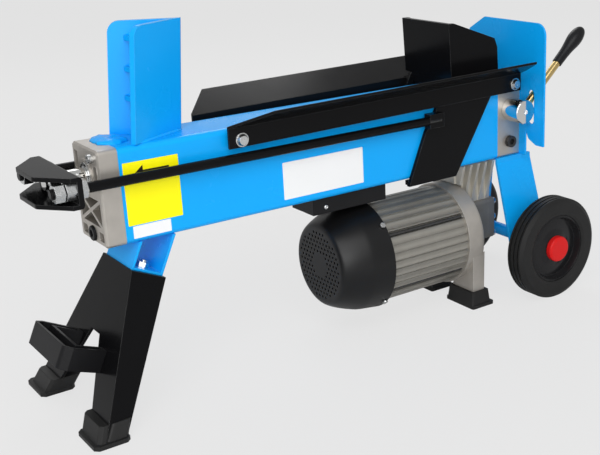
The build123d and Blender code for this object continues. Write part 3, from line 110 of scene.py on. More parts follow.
class SplitterLabels(PropertyGroup):
    """Colours and thickness of the labels on the beam."""
    thick: length_prop("Thickness", "Thickness of a label", 0.15 * MM)
    yellow: colour_prop("Yellow", "Label with the arrow", (1.0, 0.93, 0.0))
    white: colour_prop("White", "Plain labels", (0.86, 0.87, 0.88))


class SplitterStage(PropertyGroup):
    """Light levels and backdrop of the stage."""
    key: power_prop("Key light", "Power of the large soft light", 71.0)
    fill: power_prop("Fill light", "Power of the low light in front", 16.0)
    back: power_prop("Back light", "Power of the light behind", 14.0)
    ambient: FloatProperty(name="Ambient", description="Level of light from all around", default=0.52)
    backdrop: FloatProperty(name="Backdrop", description="Level of the pale backdrop", default=0.82)


# --------------------------------------------------------------------------- node groups
def new_group(name, inputs, outputs):
    """Empty shader node group with its sockets, and its input and output nodes."""
    group = bpy.data.node_groups.new(name, "ShaderNodeTree")
    for label, kind, default in inputs:
        socket = group.interface.new_socket(name=label, in_out="INPUT", socket_type=kind)
        socket.default_value = default
    for label, kind in outputs:
        group.interface.new_socket(name=label, in_out="OUTPUT", socket_type=kind)
    return group, group.nodes.new("NodeGroupInput"), group.nodes.new("NodeGroupOutput")


def math_node(nodes, operation, *values):
    node = nodes.new("ShaderNodeMath")
    node.operation = operation
    for socket, value in zip(node.inputs, values):
        socket.default_value = value
    return node


def uneven_colour_group():
    """Colour that gets slightly lighter and darker over the surface."""
    group, given, result = new_group(
        "Uneven colour",
        [("Color", "NodeSocketColor", (0.5, 0.5, 0.5, 1)), ("Scale", "NodeSocketFloat", 12.0),
         ("Amount", "NodeSocketFloat", 0.1)],
        [("Color", "NodeSocketColor")])
    nodes, links = group.nodes, group.links
    coords = nodes.new("ShaderNodeTexCoord")
    cloud = nodes.new("ShaderNodeTexNoise")
    cloud.inputs["Detail"].default_value = 3.0
    centred = math_node(nodes, "SUBTRACT", 0.5, 0.5)
    scaled = math_node(nodes, "MULTIPLY", 0.0, 0.1)
    level = math_node(nodes, "ADD", 0.0, 1.0)
    tint = nodes.new("ShaderNodeVectorMath")
    tint.operation = "SCALE"
    links.new(coords.outputs["Object"], cloud.inputs["Vector"])
    links.new(given.outputs["Scale"], cloud.inputs["Scale"])
    links.new(cloud.outputs["Fac"], centred.inputs[0])
    links.new(centred.outputs[0], scaled.inputs[0])
    links.new(given.outputs["Amount"], scaled.inputs[1])
    links.new(scaled.outputs[0], level.inputs[0])
    links.new(given.outputs["Color"], tint.inputs[0])
    links.new(level.outputs[0], tint.inputs["Scale"])
    links.new(tint.outputs[0], result.inputs["Color"])
    return group


def uneven_gloss_group():
    """Roughness with smudges."""
    group, given, result = new_group(
        "Uneven gloss",
        [("Roughness", "NodeSocketFloat", 0.3), ("Scale", "NodeSocketFloat", 30.0),
         ("Amount", "NodeSocketFloat", 0.1)],
        [("Roughness", "NodeSocketFloat")])
    nodes, links = group.nodes, group.links
    coords = nodes.new("ShaderNodeTexCoord")
    cloud = nodes.new("ShaderNodeTexNoise")
    cloud.inputs["Detail"].default_value = 4.0
    centred = math_node(nodes, "SUBTRACT", 0.5, 0.5)
    scaled = math_node(nodes, "MULTIPLY", 0.0, 0.1)
    total = math_node(nodes, "ADD", 0.0, 0.3)
    links.new(coords.outputs["Object"], cloud.inputs["Vector"])
    links.new(given.outputs["Scale"], cloud.inputs["Scale"])
    links.new(cloud.outputs["Fac"], centred.inputs[0])
    links.new(centred.outputs[0], scaled.inputs[0])
    links.new(given.outputs["Amount"], scaled.inputs[1])
    links.new(scaled.outputs[0], total.inputs[0])
    links.new(given.outputs["Roughness"], total.inputs[1])
    links.new(total.outputs[0], result.inputs["Roughness"])
    return group


def grain_group():
    """Height of a fine grain, stretched along an axis for brushed or extruded metal."""
    group, given, result = new_group(
        "Fine grain",
        [("Stretch", "NodeSocketVector", (1, 1, 1)), ("Scale", "NodeSocketFloat", 400.0),
         ("Depth", "NodeSocketFloat", 0.05)],
        [("Height", "NodeSocketFloat")])
    nodes, links = group.nodes, group.links
    coords = nodes.new("ShaderNodeTexCoord")
    stretched = nodes.new("ShaderNodeVectorMath")
    stretched.operation = "MULTIPLY"
    cloud = nodes.new("ShaderNodeTexNoise")
    cloud.inputs["Detail"].default_value = 2.0
    scaled = math_node(nodes, "MULTIPLY", 0.0, 0.05)
    links.new(coords.outputs["Object"], stretched.inputs[0])
    links.new(given.outputs["Stretch"], stretched.inputs[1])
    links.new(stretched.outputs[0], cloud.inputs["Vector"])
    links.new(given.outputs["Scale"], cloud.inputs["Scale"])
    links.new(cloud.outputs["Fac"], scaled.inputs[0])
    links.new(given.outputs["Depth"], scaled.inputs[1])
    links.new(scaled.outputs[0], result.inputs["Height"])
    return group


def rib_group_with_painted_shade():
    """Ribs that run lengthwise on a round body whose axis is at a level, with painted shade in their valleys.
    """
    group, given, result = new_group(
        "Long ribs with painted valley shade",
        [("Color", "NodeSocketColor", (0.5, 0.5, 0.5, 1)), ("Count", "NodeSocketFloat", 60.0),
         ("Level", "NodeSocketFloat", 0.1)],
        [("Color", "NodeSocketColor"), ("Height", "NodeSocketFloat")])
    nodes, links = group.nodes, group.links
    coords = nodes.new("ShaderNodeTexCoord")
    split = nodes.new("ShaderNodeSeparateXYZ")
    links.new(coords.outputs["Object"], split.inputs[0])
    rise = math_node(nodes, "SUBTRACT", 0.0, 0.0)
    links.new(split.outputs["Z"], rise.inputs[0])
    links.new(given.outputs["Level"], rise.inputs[1])
    angle = math_node(nodes, "ARCTAN2", 0.0, 0.0)
    links.new(rise.outputs[0], angle.inputs[0])
    links.new(split.outputs["Y"], angle.inputs[1])
    turns = math_node(nodes, "MULTIPLY", 0.0, 0.0)
    links.new(angle.outputs[0], turns.inputs[0])
    links.new(given.outputs["Count"], turns.inputs[1])
    wave = math_node(nodes, "SINE", 0.0)
    links.new(turns.outputs[0], wave.inputs[0])
    crest = math_node(nodes, "MULTIPLY_ADD", 0.0, 0.5, 0.5)
    links.new(wave.outputs[0], crest.inputs[0])
    # Painted shade: the colour falls to 76 % of itself in the valleys between the ribs and stays full on the
    # crests.
    shade = nodes.new("ShaderNodeMapRange")
    shade.inputs["To Min"].default_value = 0.76
    links.new(crest.outputs[0], shade.inputs["Value"])
    tint = nodes.new("ShaderNodeMix")
    tint.data_type = "RGBA"
    tint.inputs["A"].default_value = (0, 0, 0, 1)
    links.new(shade.outputs["Result"], tint.inputs["Factor"])
    links.new(given.outputs["Color"], tint.inputs["B"])
    links.new(tint.outputs["Result"], result.inputs["Color"])
    links.new(crest.outputs[0], result.inputs["Height"])
    return group


def worn_and_highlit_edge_group():
    """Mask of the edges, broken up so that it is patchy; it lightens the edges, partly as wear and partly as a
    painted highlight.
    """
    group, given, result = new_group(
        "Worn edges and painted highlight",
        [("Amount", "NodeSocketFloat", 1.0), ("Patches", "NodeSocketFloat", 60.0)],
        [("Mask", "NodeSocketFloat")])
    nodes, links = group.nodes, group.links
    rounded = nodes.new("ShaderNodeBevel")
    rounded.samples = 4
    rounded.inputs["Radius"].default_value = 1.0 * MM
    surface = nodes.new("ShaderNodeNewGeometry")
    facing = nodes.new("ShaderNodeVectorMath")
    facing.operation = "DOT_PRODUCT"
    turned = math_node(nodes, "SUBTRACT", 1.0, 1.0)
    strong = math_node(nodes, "MULTIPLY", 0.0, 5.0)
    coords = nodes.new("ShaderNodeTexCoord")
    cloud = nodes.new("ShaderNodeTexNoise")
    patchy = math_node(nodes, "MULTIPLY", 0.0, 1.0)
    total = math_node(nodes, "MULTIPLY", 0.0, 1.0)
    total.use_clamp = True
    links.new(rounded.outputs["Normal"], facing.inputs[0])
    links.new(surface.outputs["Normal"], facing.inputs[1])
    links.new(facing.outputs["Value"], turned.inputs[1])
    links.new(turned.outputs[0], strong.inputs[0])
    links.new(coords.outputs["Object"], cloud.inputs["Vector"])
    links.new(given.outputs["Patches"], cloud.inputs["Scale"])
    links.new(strong.outputs[0], patchy.inputs[0])
    links.new(cloud.outputs["Fac"], patchy.inputs[1])
    links.new(patchy.outputs[0], total.inputs[0])
    links.new(given.outputs["Amount"], total.inputs[1])
    links.new(total.outputs[0], result.inputs["Mask"])
    return group


GROUP_MAKERS = {
    "Uneven colour": uneven_colour_group,
    "Uneven gloss": uneven_gloss_group,
    "Fine grain": grain_group,
    "Worn edges and painted highlight": worn_and_highlit_edge_group,
    "Long ribs with painted valley shade": rib_group_with_painted_shade,
}


def add_group(nodes, name, **values):
    """Places a shared node group, made on first use, with its own values."""
    tree = bpy.data.node_groups.get(name) or GROUP_MAKERS[name]()
    node = nodes.new("ShaderNodeGroup")
    node.node_tree = tree
    for label, value in values.items():
        node.inputs[label].default_value = value
    return node


def opaque(colour):
    return (colour[0], colour[1], colour[2], 1.0)


def make_finish(name, colour, roughness, metallic=0.0, specular=0.5, coat=0.0, shade=(10.0, 0.12),
                smudge=(35.0, 0.08), grain=(400.0, 0.03), stretch=(1, 1, 1), edge=None, bevel=0.8,
                ribs=None):
    """Material with uneven colour and gloss, fine grain and rounded edges; edges can be made lighter, partly
    wear and partly painted highlight, and ribs can be added with painted shade in their valleys.
    """
    if name in bpy.data.materials:
        return bpy.data.materials[name]
    material = bpy.data.materials.new(name)
    material.use_nodes = True
    nodes, links = material.node_tree.nodes, material.node_tree.links
    shader = nodes["Principled BSDF"]
    shader.inputs["Metallic"].default_value = metallic
    shader.inputs["Specular IOR Level"].default_value = specular
    shader.inputs["Coat Weight"].default_value = coat
    shader.inputs["Coat Roughness"].default_value = 0.05
    tone = add_group(nodes, "Uneven colour", Color=opaque(colour), Scale=shade[0], Amount=shade[1])
    last_colour = tone.outputs["Color"]
    # Lighter colour along the edges: partly wear, partly a painted highlight on the edges.
    if edge:
        edge_colour, edge_amount = edge
        wear_and_highlight_mask = add_group(nodes, "Worn edges and painted highlight", Amount=edge_amount)
        worn_and_highlit = nodes.new("ShaderNodeMix")
        worn_and_highlit.data_type = "RGBA"
        worn_and_highlit.inputs["B"].default_value = opaque(edge_colour)
        links.new(wear_and_highlight_mask.outputs["Mask"], worn_and_highlit.inputs["Factor"])
        links.new(last_colour, worn_and_highlit.inputs["A"])
        last_colour = worn_and_highlit.outputs["Result"]
    rib_bands_and_shade = None
    # Ribs add bumps and also a painted shade that darkens the colour in their valleys.
    if ribs:
        rib_bands_and_shade = add_group(nodes, "Long ribs with painted valley shade", Count=ribs[0], Level=ribs[1])
        links.new(last_colour, rib_bands_and_shade.inputs["Color"])
        last_colour = rib_bands_and_shade.outputs["Color"]
    links.new(last_colour, shader.inputs["Base Color"])
    gloss = add_group(nodes, "Uneven gloss", Roughness=roughness, Scale=smudge[0], Amount=smudge[1])
    links.new(gloss.outputs["Roughness"], shader.inputs["Roughness"])
    fine = add_group(nodes, "Fine grain", Scale=grain[0], Depth=grain[1], Stretch=stretch)
    bump = nodes.new("ShaderNodeBump")
    bump.inputs["Distance"].default_value = MM
    rounded = nodes.new("ShaderNodeBevel")
    rounded.samples = 4
    rounded.inputs["Radius"].default_value = bevel * MM
    links.new(fine.outputs["Height"], bump.inputs["Height"])
    links.new(rounded.outputs["Normal"], bump.inputs["Normal"])
    last_normal = bump.outputs["Normal"]
    if rib_bands_and_shade:
        waves = nodes.new("ShaderNodeBump")
        waves.inputs["Distance"].default_value = MM
        links.new(rib_bands_and_shade.outputs["Height"], waves.inputs["Height"])
        links.new(last_normal, waves.inputs["Normal"])
        last_normal = waves.outputs["Normal"]
    links.new(last_normal, shader.inputs["Normal"])
    return material


def add_dark_zone(material, colour, axis, centre, reach, inside=True):
    """Turns a plated finish to dull dark where its place along an axis is inside, or outside, a stretch."""
    nodes, links = material.node_tree.nodes, material.node_tree.links
    shader = nodes["Principled BSDF"]
    before = shader.inputs["Base Color"].links[0].from_socket
    coords = nodes.new("ShaderNodeTexCoord")
    split = nodes.new("ShaderNodeSeparateXYZ")
    mask = math_node(nodes, "COMPARE", 0.0, centre, reach)
    links.new(split.outputs[axis], mask.inputs[0])
    if not inside:
        within = mask
        mask = math_node(nodes, "SUBTRACT", 1.0, 0.0)
        links.new(within.outputs[0], mask.inputs[1])
    swap = nodes.new("ShaderNodeMix")
    swap.data_type = "RGBA"
    swap.inputs["B"].default_value = opaque(colour)
    links.new(coords.outputs["Object"], split.inputs[0])
    links.new(mask.outputs[0], swap.inputs["Factor"])
    links.new(before, swap.inputs["A"])
    links.new(swap.outputs["Result"], shader.inputs["Base Color"])
    metal = math_node(nodes, "SUBTRACT", 1.0, 0.0)
    links.new(mask.outputs[0], metal.inputs[1])
    links.new(metal.outputs[0], shader.inputs["Metallic"])


def finish_nodes(material, *names):
    """Gives these carried-over parts a finish."""
    for name in names:
        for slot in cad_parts[name].material_slots:
            slot.material = material


# ------------------------------------------------------------------------------ mesh work
def mesh_object(name, vertices, faces, material, body="frame", smooth=True):
    """Object from vertices and faces that rides on a body."""
    mesh = bpy.data.meshes.new(name)
    mesh.from_pydata([tuple(v) for v in vertices], [], faces)
    mesh.materials.append(material)
    if smooth:
        mesh.polygons.foreach_set("use_smooth", [True] * len(mesh.polygons))
    mesh.update()
    obj = bpy.data.objects.new(name, mesh)
    bpy.context.scene.collection.objects.link(obj)
    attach(obj, body)
    return obj


def ring_tube(rings):
    """Vertices and faces of a tube from rings of equal length, closed at both ends."""
    count = len(rings[0])
    vertices = [p for ring in rings for p in ring]
    faces = [
        (i * count + j, i * count + (j + 1) % count, (i + 1) * count + (j + 1) % count, (i + 1) * count + j)
        for i in range(len(rings) - 1) for j in range(count)]
    faces.append(tuple(reversed(range(count))))
    faces.append(tuple((len(rings) - 1) * count + j for j in range(count)))
    return vertices, faces


def weld_bead(name, start, end, radius, pitch, material, seed):
    """Rippled bead from start to end, sunk halfway into the corner it fills."""
    rng = random.Random(seed)
    along = end - start
    steps = max(8, int(along.length / (pitch / 4)))
    side = along.orthogonal().normalized()
    other = along.normalized().cross(side)
    rings = []
    wander = [rng.uniform(-0.10, 0.10) for _ in range(steps + 1)]
    for i in range(steps + 1):
        t = i / steps
        end_taper = min(1.0, 6 * t + 0.25, 6 * (1 - t) + 0.25)
        ripple = 1 + 0.14 * abs(sin(pi * t * along.length / pitch)) + wander[i] * 0.6
        r = radius * end_taper * ripple
        centre = start + along * t
        turns = [k * pi / 6 for k in range(12)]
        rings.append([centre + side * (r * cos(a)) + other * (r * sin(a)) for a in turns])
    vertices, faces = ring_tube(rings)
    return mesh_object(name, vertices, faces, material)


def weld_pool(name, centre, half_x, half_y, height, material, seed):
    """Lumpy pool of weld metal that has run out over a flat top."""
    around, outward = 72, 14
    vertices = []
    for i in range(outward):
        s = i / (outward - 1)
        for j in range(around):
            a = 2 * pi * j / around
            ragged = 1 + 0.16 * noise.noise(Vector((3 * cos(a), 3 * sin(a), seed)))
            x = centre.x + half_x * s * ragged * cos(a)
            y = centre.y + half_y * s * ragged * sin(a)
            lump = 0.8 + 0.35 * noise.noise(Vector((x * 80, y * 80, seed)))
            z = centre.z + height * lump * (1 - s ** 4) ** 0.5 - 0.4 * MM
            vertices.append(Vector((x, y, z)))
    faces = [
        (i * around + j, (i + 1) * around + j,
         (i + 1) * around + (j + 1) % around, i * around + (j + 1) % around)
        for i in range(outward - 1) for j in range(around)]
    faces.append(tuple((outward - 1) * around + j for j in reversed(range(around))))
    return mesh_object(name, vertices, faces, material)


def side_plate(name, outline, thick, material, base=0.0):
    """Thin flat piece on the beam's near side, from an outline in millimetres along and up."""
    inner = -HALF - base
    count = len(outline)
    vertices = [place(x, 0, z) + Vector((0, inner, 0)) for x, z in outline]
    vertices += [place(x, 0, z) + Vector((0, inner - thick, 0)) for x, z in outline]
    faces = [tuple(range(count)), tuple(reversed(range(count, 2 * count)))]
    faces += [(i, i + count, (i + 1) % count + count, (i + 1) % count) for i in range(count)]
    return mesh_object(name, vertices, faces, material, smooth=False)


def rounded_outline(low_x, high_x, low_z, high_z, radius):
    """Outline of a rectangle with rounded corners."""
    points = []
    for cx, cz, first in (
            (high_x - radius, high_z - radius, 0), (low_x + radius, high_z - radius, 90),
            (low_x + radius, low_z + radius, 180), (high_x - radius, low_z + radius, 270)):
        for step in range(5):
            a = (first + step * 22.5) * pi / 180
            points.append((cx + radius * cos(a), cz + radius * sin(a)))
    return points


def turned_piece(name, origin, axis, profile, material, body="frame", sides=24):
    """Turned piece from (distance along the axis, radius) pairs in millimetres."""
    axis = axis.normalized()
    side = axis.orthogonal().normalized()
    other = axis.cross(side)
    around = [2 * pi * k / sides for k in range(sides)]
    rings = [
        [origin + axis * (d * MM) + (side * cos(a) + other * sin(a)) * (r * MM) for a in around]
        for d, r in profile]
    vertices, faces = ring_tube(rings)
    return mesh_object(name, vertices, faces, material, body=body)


# ------------------------------------------------------------------------------ operators
class SPLITTER_OT_sheet_metal(Operator):
    """Blue and black enamel on the beam, wedge, rails, pusher and leg"""
    bl_idname = "splitter.sheet_metal"
    bl_label = "Painted Sheet Metal"

    def execute(self, context):
        paint = context.scene.splitter_paint
        # Paler blue along the edges: a painted edge highlight, with some wear.
        pale_edge_highlight = (0.10, 0.50, 0.92)
        blue = make_finish("Blue enamel", paint.blue, 0.26, specular=0.2, shade=(7.0, 0.10),
                           smudge=(28.0, 0.10), grain=(260.0, 0.035), edge=(pale_edge_highlight, 0.55), bevel=1.3)
        # Grey along the black enamel's edges stands in for the edge highlight, with some wear.
        black = make_finish("Black enamel", paint.black, 0.2, specular=0.1, shade=(9.0, 0.3),
                            smudge=(30.0, 0.12), grain=(300.0, 0.03), edge=((0.16, 0.16, 0.16), 0.5), bevel=1.4)
        cover = make_finish("Satin black", paint.black, 0.36, specular=0.32, shade=(9.0, 0.3),
                            smudge=(22.0, 0.1), grain=(700.0, 0.05), edge=((0.12, 0.12, 0.12), 0.3))
        finish_nodes(blue, "beam_tank", "splitting_wedge", "wedge_gussets", "leg_bracket", "rear_bracket",
                     "axle_tube", "guard_plate")
        finish_nodes(black, "cradle_near", "cradle_far", "front_leg", "pusher_head", "pusher_sides", "yoke",
                     "pull_rods")
        finish_nodes(cover, "fan_cover")
        return {"FINISHED"}


class SPLITTER_OT_castings(Operator):
    """Raw and ribbed aluminium, and the pump's grey iron"""
    bl_idname = "splitter.castings"
    bl_label = "Castings"

    def execute(self, context):
        paint = context.scene.splitter_paint
        cast = make_finish("Cast aluminium", paint.cast, 0.46, metallic=0.8, shade=(60.0, 0.22),
                           smudge=(50.0, 0.16), grain=(900.0, 0.10), edge=((0.80, 0.78, 0.75), 0.5), bevel=0.8)
        shield = make_finish("Cast motor shield", [c * 0.95 for c in paint.cast], 0.5, metallic=0.75,
                             shade=(50.0, 0.3), grain=(900.0, 0.14), edge=((0.72, 0.71, 0.68), 0.6), bevel=1.0)
        ribbed = make_finish("Ribbed aluminium", paint.ribbed, 0.44, metallic=0.6, shade=(60.0, 0.2),
                             smudge=(40.0, 0.12), grain=(900.0, 0.08), stretch=(0.15, 1, 1),
                             edge=((0.66, 0.65, 0.62), 0.4), bevel=0.4, ribs=(36.0, MOTOR_HEIGHT))
        finned = make_finish("Finned aluminium", [c * 1.7 for c in paint.ribbed], 0.42, metallic=0.6,
                             shade=(60.0, 0.2), smudge=(40.0, 0.12), grain=(900.0, 0.08),
                             edge=((0.85, 0.84, 0.80), 0.9), bevel=0.5)
        iron = make_finish("Grey iron", paint.iron, 0.48, metallic=0.4, shade=(70.0, 0.3),
                           grain=(800.0, 0.16), edge=((0.40, 0.39, 0.37), 0.4))
        finish_nodes(cast, "front_cover", "valve_block")
        finish_nodes(shield, "motor_end_shield", "fan_side_shield")
        finish_nodes(ribbed, "stator_housing")
        finish_nodes(finned, "manifold_block")
        finish_nodes(iron, "pump_housing", "pump_cover")
        return {"FINISHED"}


class SPLITTER_OT_bright_parts(Operator):
    """Chromed, zinc-plated and turned steel parts"""
    bl_idname = "splitter.bright_parts"
    bl_label = "Bright Parts"

    def execute(self, context):
        paint = context.scene.splitter_paint
        zinc = make_finish("Zinc plate", paint.zinc, 0.26, metallic=1.0, shade=(120.0, 0.3),
                           smudge=(90.0, 0.18), grain=(900.0, 0.06), bevel=0.7)
        clamped = make_finish("Zinc plate and black screws", paint.zinc, 0.3, metallic=1.0, shade=(120.0, 0.3),
                              smudge=(90.0, 0.18), grain=(900.0, 0.06), bevel=0.7)
        add_dark_zone(clamped, paint.dark, "Y", 0.0, HALF - 0.1 * MM, inside=False)
        tied = make_finish("Zinc heads and dark shanks", paint.zinc, 0.28, metallic=1.0, shade=(120.0, 0.3),
                           smudge=(90.0, 0.18), grain=(900.0, 0.06), bevel=0.7)
        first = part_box("fan_cover")[1][0] + 3 * MM
        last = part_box("stator_housing")[1][0] - MM
        add_dark_zone(tied, paint.shank, "X", (first + last) / 2, (last - first) / 2)
        chrome = make_finish("Chrome", paint.chrome, 0.07, metallic=1.0, shade=(40.0, 0.1),
                             smudge=(60.0, 0.06), grain=(500.0, 0.012), bevel=0.9)
        gold = make_finish("Yellow zinc", paint.yellow_zinc, 0.2, metallic=1.0, shade=(60.0, 0.5),
                           smudge=(60.0, 0.16), grain=(700.0, 0.03), stretch=(1, 0.2, 1))
        steel = make_finish("Turned steel", paint.steel, 0.34, metallic=1.0, shade=(80.0, 0.3),
                            grain=(1200.0, 0.05), stretch=(1, 0.1, 0.1))
        finish_nodes(zinc, "rod_gland", "cradle_bolts", "leg_bolts", "pump_cover_bolts", "ram_nuts",
                     "bleed_screw")
        finish_nodes(tied, "motor_screws")
        finish_nodes(clamped, "valve_block_bolts")
        finish_nodes(chrome, "piston_rod", "lever_hub")
        finish_nodes(gold, "lever_rod")
        finish_nodes(steel, "cylinder_tube", "wheel_axle", "wound_stator", "motor_bearings", "piston", "rotor",
                     "pump_drive_gear", "pump_driven_gear")
        return {"FINISHED"}


class SPLITTER_OT_plastic_and_rubber(Operator):
    """Tyres, rims, caps, boots, grips, box and buttons"""
    bl_idname = "splitter.plastic_and_rubber"
    bl_label = "Plastic and Rubber"

    def execute(self, context):
        paint = context.scene.splitter_paint
        tyre = make_finish("Tyre rubber", paint.rubber, 0.55, specular=0.25, shade=(40.0, 0.5),
                           smudge=(50.0, 0.2), grain=(600.0, 0.12), bevel=1.4)
        boot = make_finish("Boot rubber", paint.rubber, 0.5, specular=0.3, shade=(40.0, 0.4),
                           grain=(800.0, 0.10), bevel=1.6)
        plastic = make_finish("Moulded plastic", paint.plastic, 0.4, specular=0.15, shade=(30.0, 0.3),
                              grain=(1100.0, 0.12), bevel=1.2)
        grip = make_finish("Grip plastic", paint.plastic, 0.3, specular=0.2, shade=(30.0, 0.3),
                           grain=(900.0, 0.03), bevel=1.0)
        rim = make_finish("Rim plastic", paint.plastic, 0.2, specular=0.25, shade=(20.0, 0.3),
                          smudge=(40.0, 0.1), grain=(400.0, 0.03), bevel=1.4)
        red = make_finish("Red plastic", paint.red, 0.25, specular=0.15, shade=(60.0, 0.12),
                          grain=(700.0, 0.03), bevel=1.2)
        # Cooling fan made pale so that the holes of the fan cover show bright spots: a painted glint, with the
        # fan's own colour guessed.
        fan_and_glints = make_finish("Pale fan plastic with painted glints", paint.pale_fan_glints, 0.4, grain=(700.0, 0.03))
        green = make_finish("Green plastic", paint.green, 0.3, grain=(700.0, 0.03))
        finish_nodes(tyre, "tyre_near", "tyre_far")
        finish_nodes(boot, "leg_boots", "motor_boots", "piston_seal")
        finish_nodes(plastic, "carry_handle", "switch_box", "power_inlet", "pusher_slide", "oil_plug")
        finish_nodes(fan_and_glints, "cooling_fan")
        finish_nodes(grip, "lever_grip")
        finish_nodes(rim, "wheel_rim_near", "wheel_rim_far")
        finish_nodes(red, "hub_cap_near", "hub_cap_far", "off_button")
        finish_nodes(green, "on_button")
        return {"FINISHED"}


class SPLITTER_OT_weld_beads(Operator):
    """Weld beads of the wedge and its gussets, and the run-out pool at its foot"""
    bl_idname = "splitter.weld_beads"
    bl_label = "Weld Beads"

    def execute(self, context):
        welds = context.scene.splitter_welds
        blue = bpy.data.materials["Blue enamel"]
        apex, rear, half, plate = 121.0, 47.0, 37.0, 7.0
        lean = 12.0 / 131.0
        top = BEAM_TOP / MM
        for side, word in ((-1, "near"), (1, "far")):
            start = place(apex, side * 1.0, top + 0.4)
            end = place(rear + 8, side * 32.5, top + 0.4)
            weld_bead(f"wedge_bead_{word}", start, end, welds.bead, welds.ripple, blue, 3 + side)
        slope = half / (apex - rear)
        inner_apex = apex - plate * ((apex - rear) ** 2 + half ** 2) ** 0.5 / half
        gusset_levels = (top, 362.0, 395.5, 431.0)
        for number, height in enumerate(gusset_levels):
            shift = lean * (height - top)
            for side, word in ((-1, "near"), (1, "far")):
                start = place(inner_apex + shift - 4, side * (4 * slope), height + 0.8)
                end = place(rear + 15 + shift, side * (inner_apex - rear - 15) * slope, height + 0.8)
                weld_bead(f"gusset_bead_{word}_{number}", start, end, welds.gusset_bead, welds.ripple, blue,
                          10 + number)
        weld_pool("wedge_foot_weld", place(33, 8, top), 20 * MM, 27 * MM, welds.pool, blue, 2.0)
        return {"FINISHED"}


class SPLITTER_OT_labels(Operator):
    """Blank labels on the beam's near side, one with a plain arrow"""
    bl_idname = "splitter.labels"
    bl_label = "Labels"

    def execute(self, context):
        labels = context.scene.splitter_labels
        yellow = make_finish("Yellow label", labels.yellow, 0.4, specular=0.3, shade=(20.0, 0.06),
                             grain=(300.0, 0.01), bevel=0.1)
        white = make_finish("White label", labels.white, 0.4, specular=0.3, shade=(20.0, 0.05),
                            grain=(300.0, 0.01), bevel=0.1)
        ink = make_finish("Label ink", (0.01, 0.01, 0.01), 0.5, specular=0.2, shade=(40.0, 0.3),
                          grain=(300.0, 0.01), bevel=0.1)
        thick = labels.thick
        side_plate("arrow_label", rounded_outline(28, 96, 223.5, 297.7, 0.8), thick, yellow)
        side_plate("small_label", rounded_outline(33, 80, 207.6, 222.4, 0.8), thick * 0.6, white)
        side_plate("name_patch", rounded_outline(234.7, 356.7, 213.2, 261.3, 1.0), thick, white)
        arrow = [(40, 282.6), (52, 272.4), (52, 279.2), (84, 279.2), (84, 286.6), (52, 286.6), (52, 292.6)]
        side_plate("label_arrow", arrow, 0.05 * MM, ink, base=thick)
        return {"FINISHED"}


class SPLITTER_OT_small_screws(Operator):
    """Small screw of the switch box and rings on the tyres' walls"""
    bl_idname = "splitter.small_screws"
    bl_label = "Small Screws and Rings"

    def execute(self, context):
        zinc = bpy.data.materials["Zinc plate"]
        tyre = bpy.data.materials["Tyre rubber"]
        low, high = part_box("switch_box")
        screw_place = Vector((low[0] + 20 * MM, low[1], high[2] - 14.5 * MM))
        domed_head = [(-1.0, 3.2), (0.8, 3.2), (1.5, 2.6), (1.9, 1.4), (1.9, 0.9), (1.0, 0.8)]
        turned_piece("box_screw", screw_place, Vector((0, -1, 0)), domed_head, zinc)
        for word, side in (("near", -1), ("far", 1)):
            low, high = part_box(f"tyre_{word}")
            centre = Vector(((low[0] + high[0]) / 2, 0, (low[2] + high[2]) / 2))
            face = low[1] if side < 0 else high[1]
            for radius in (58.0, 66.0):
                count, cross = 96, 8
                rings = []
                for i in range(count):
                    a = 2 * pi * i / count
                    out = Vector((cos(a), 0, sin(a)))
                    rings.append([
                        centre + out * ((radius + 0.7 * cos(b)) * MM)
                        + Vector((0, face - side * 1.1 * MM + side * 0.7 * MM * sin(b), 0))
                        for b in [2 * pi * k / cross for k in range(cross)]])
                vertices = [p for ring in rings for p in ring]
                faces = [
                    (i * cross + j, i * cross + (j + 1) % cross, ((i + 1) % count) * cross + (j + 1) % cross,
                     ((i + 1) % count) * cross + j) for i in range(count) for j in range(cross)]
                mesh_object(f"tyre_ring_{word}_{int(radius)}", vertices, faces, tyre, body=f"wheel_{word}")
        return {"FINISHED"}


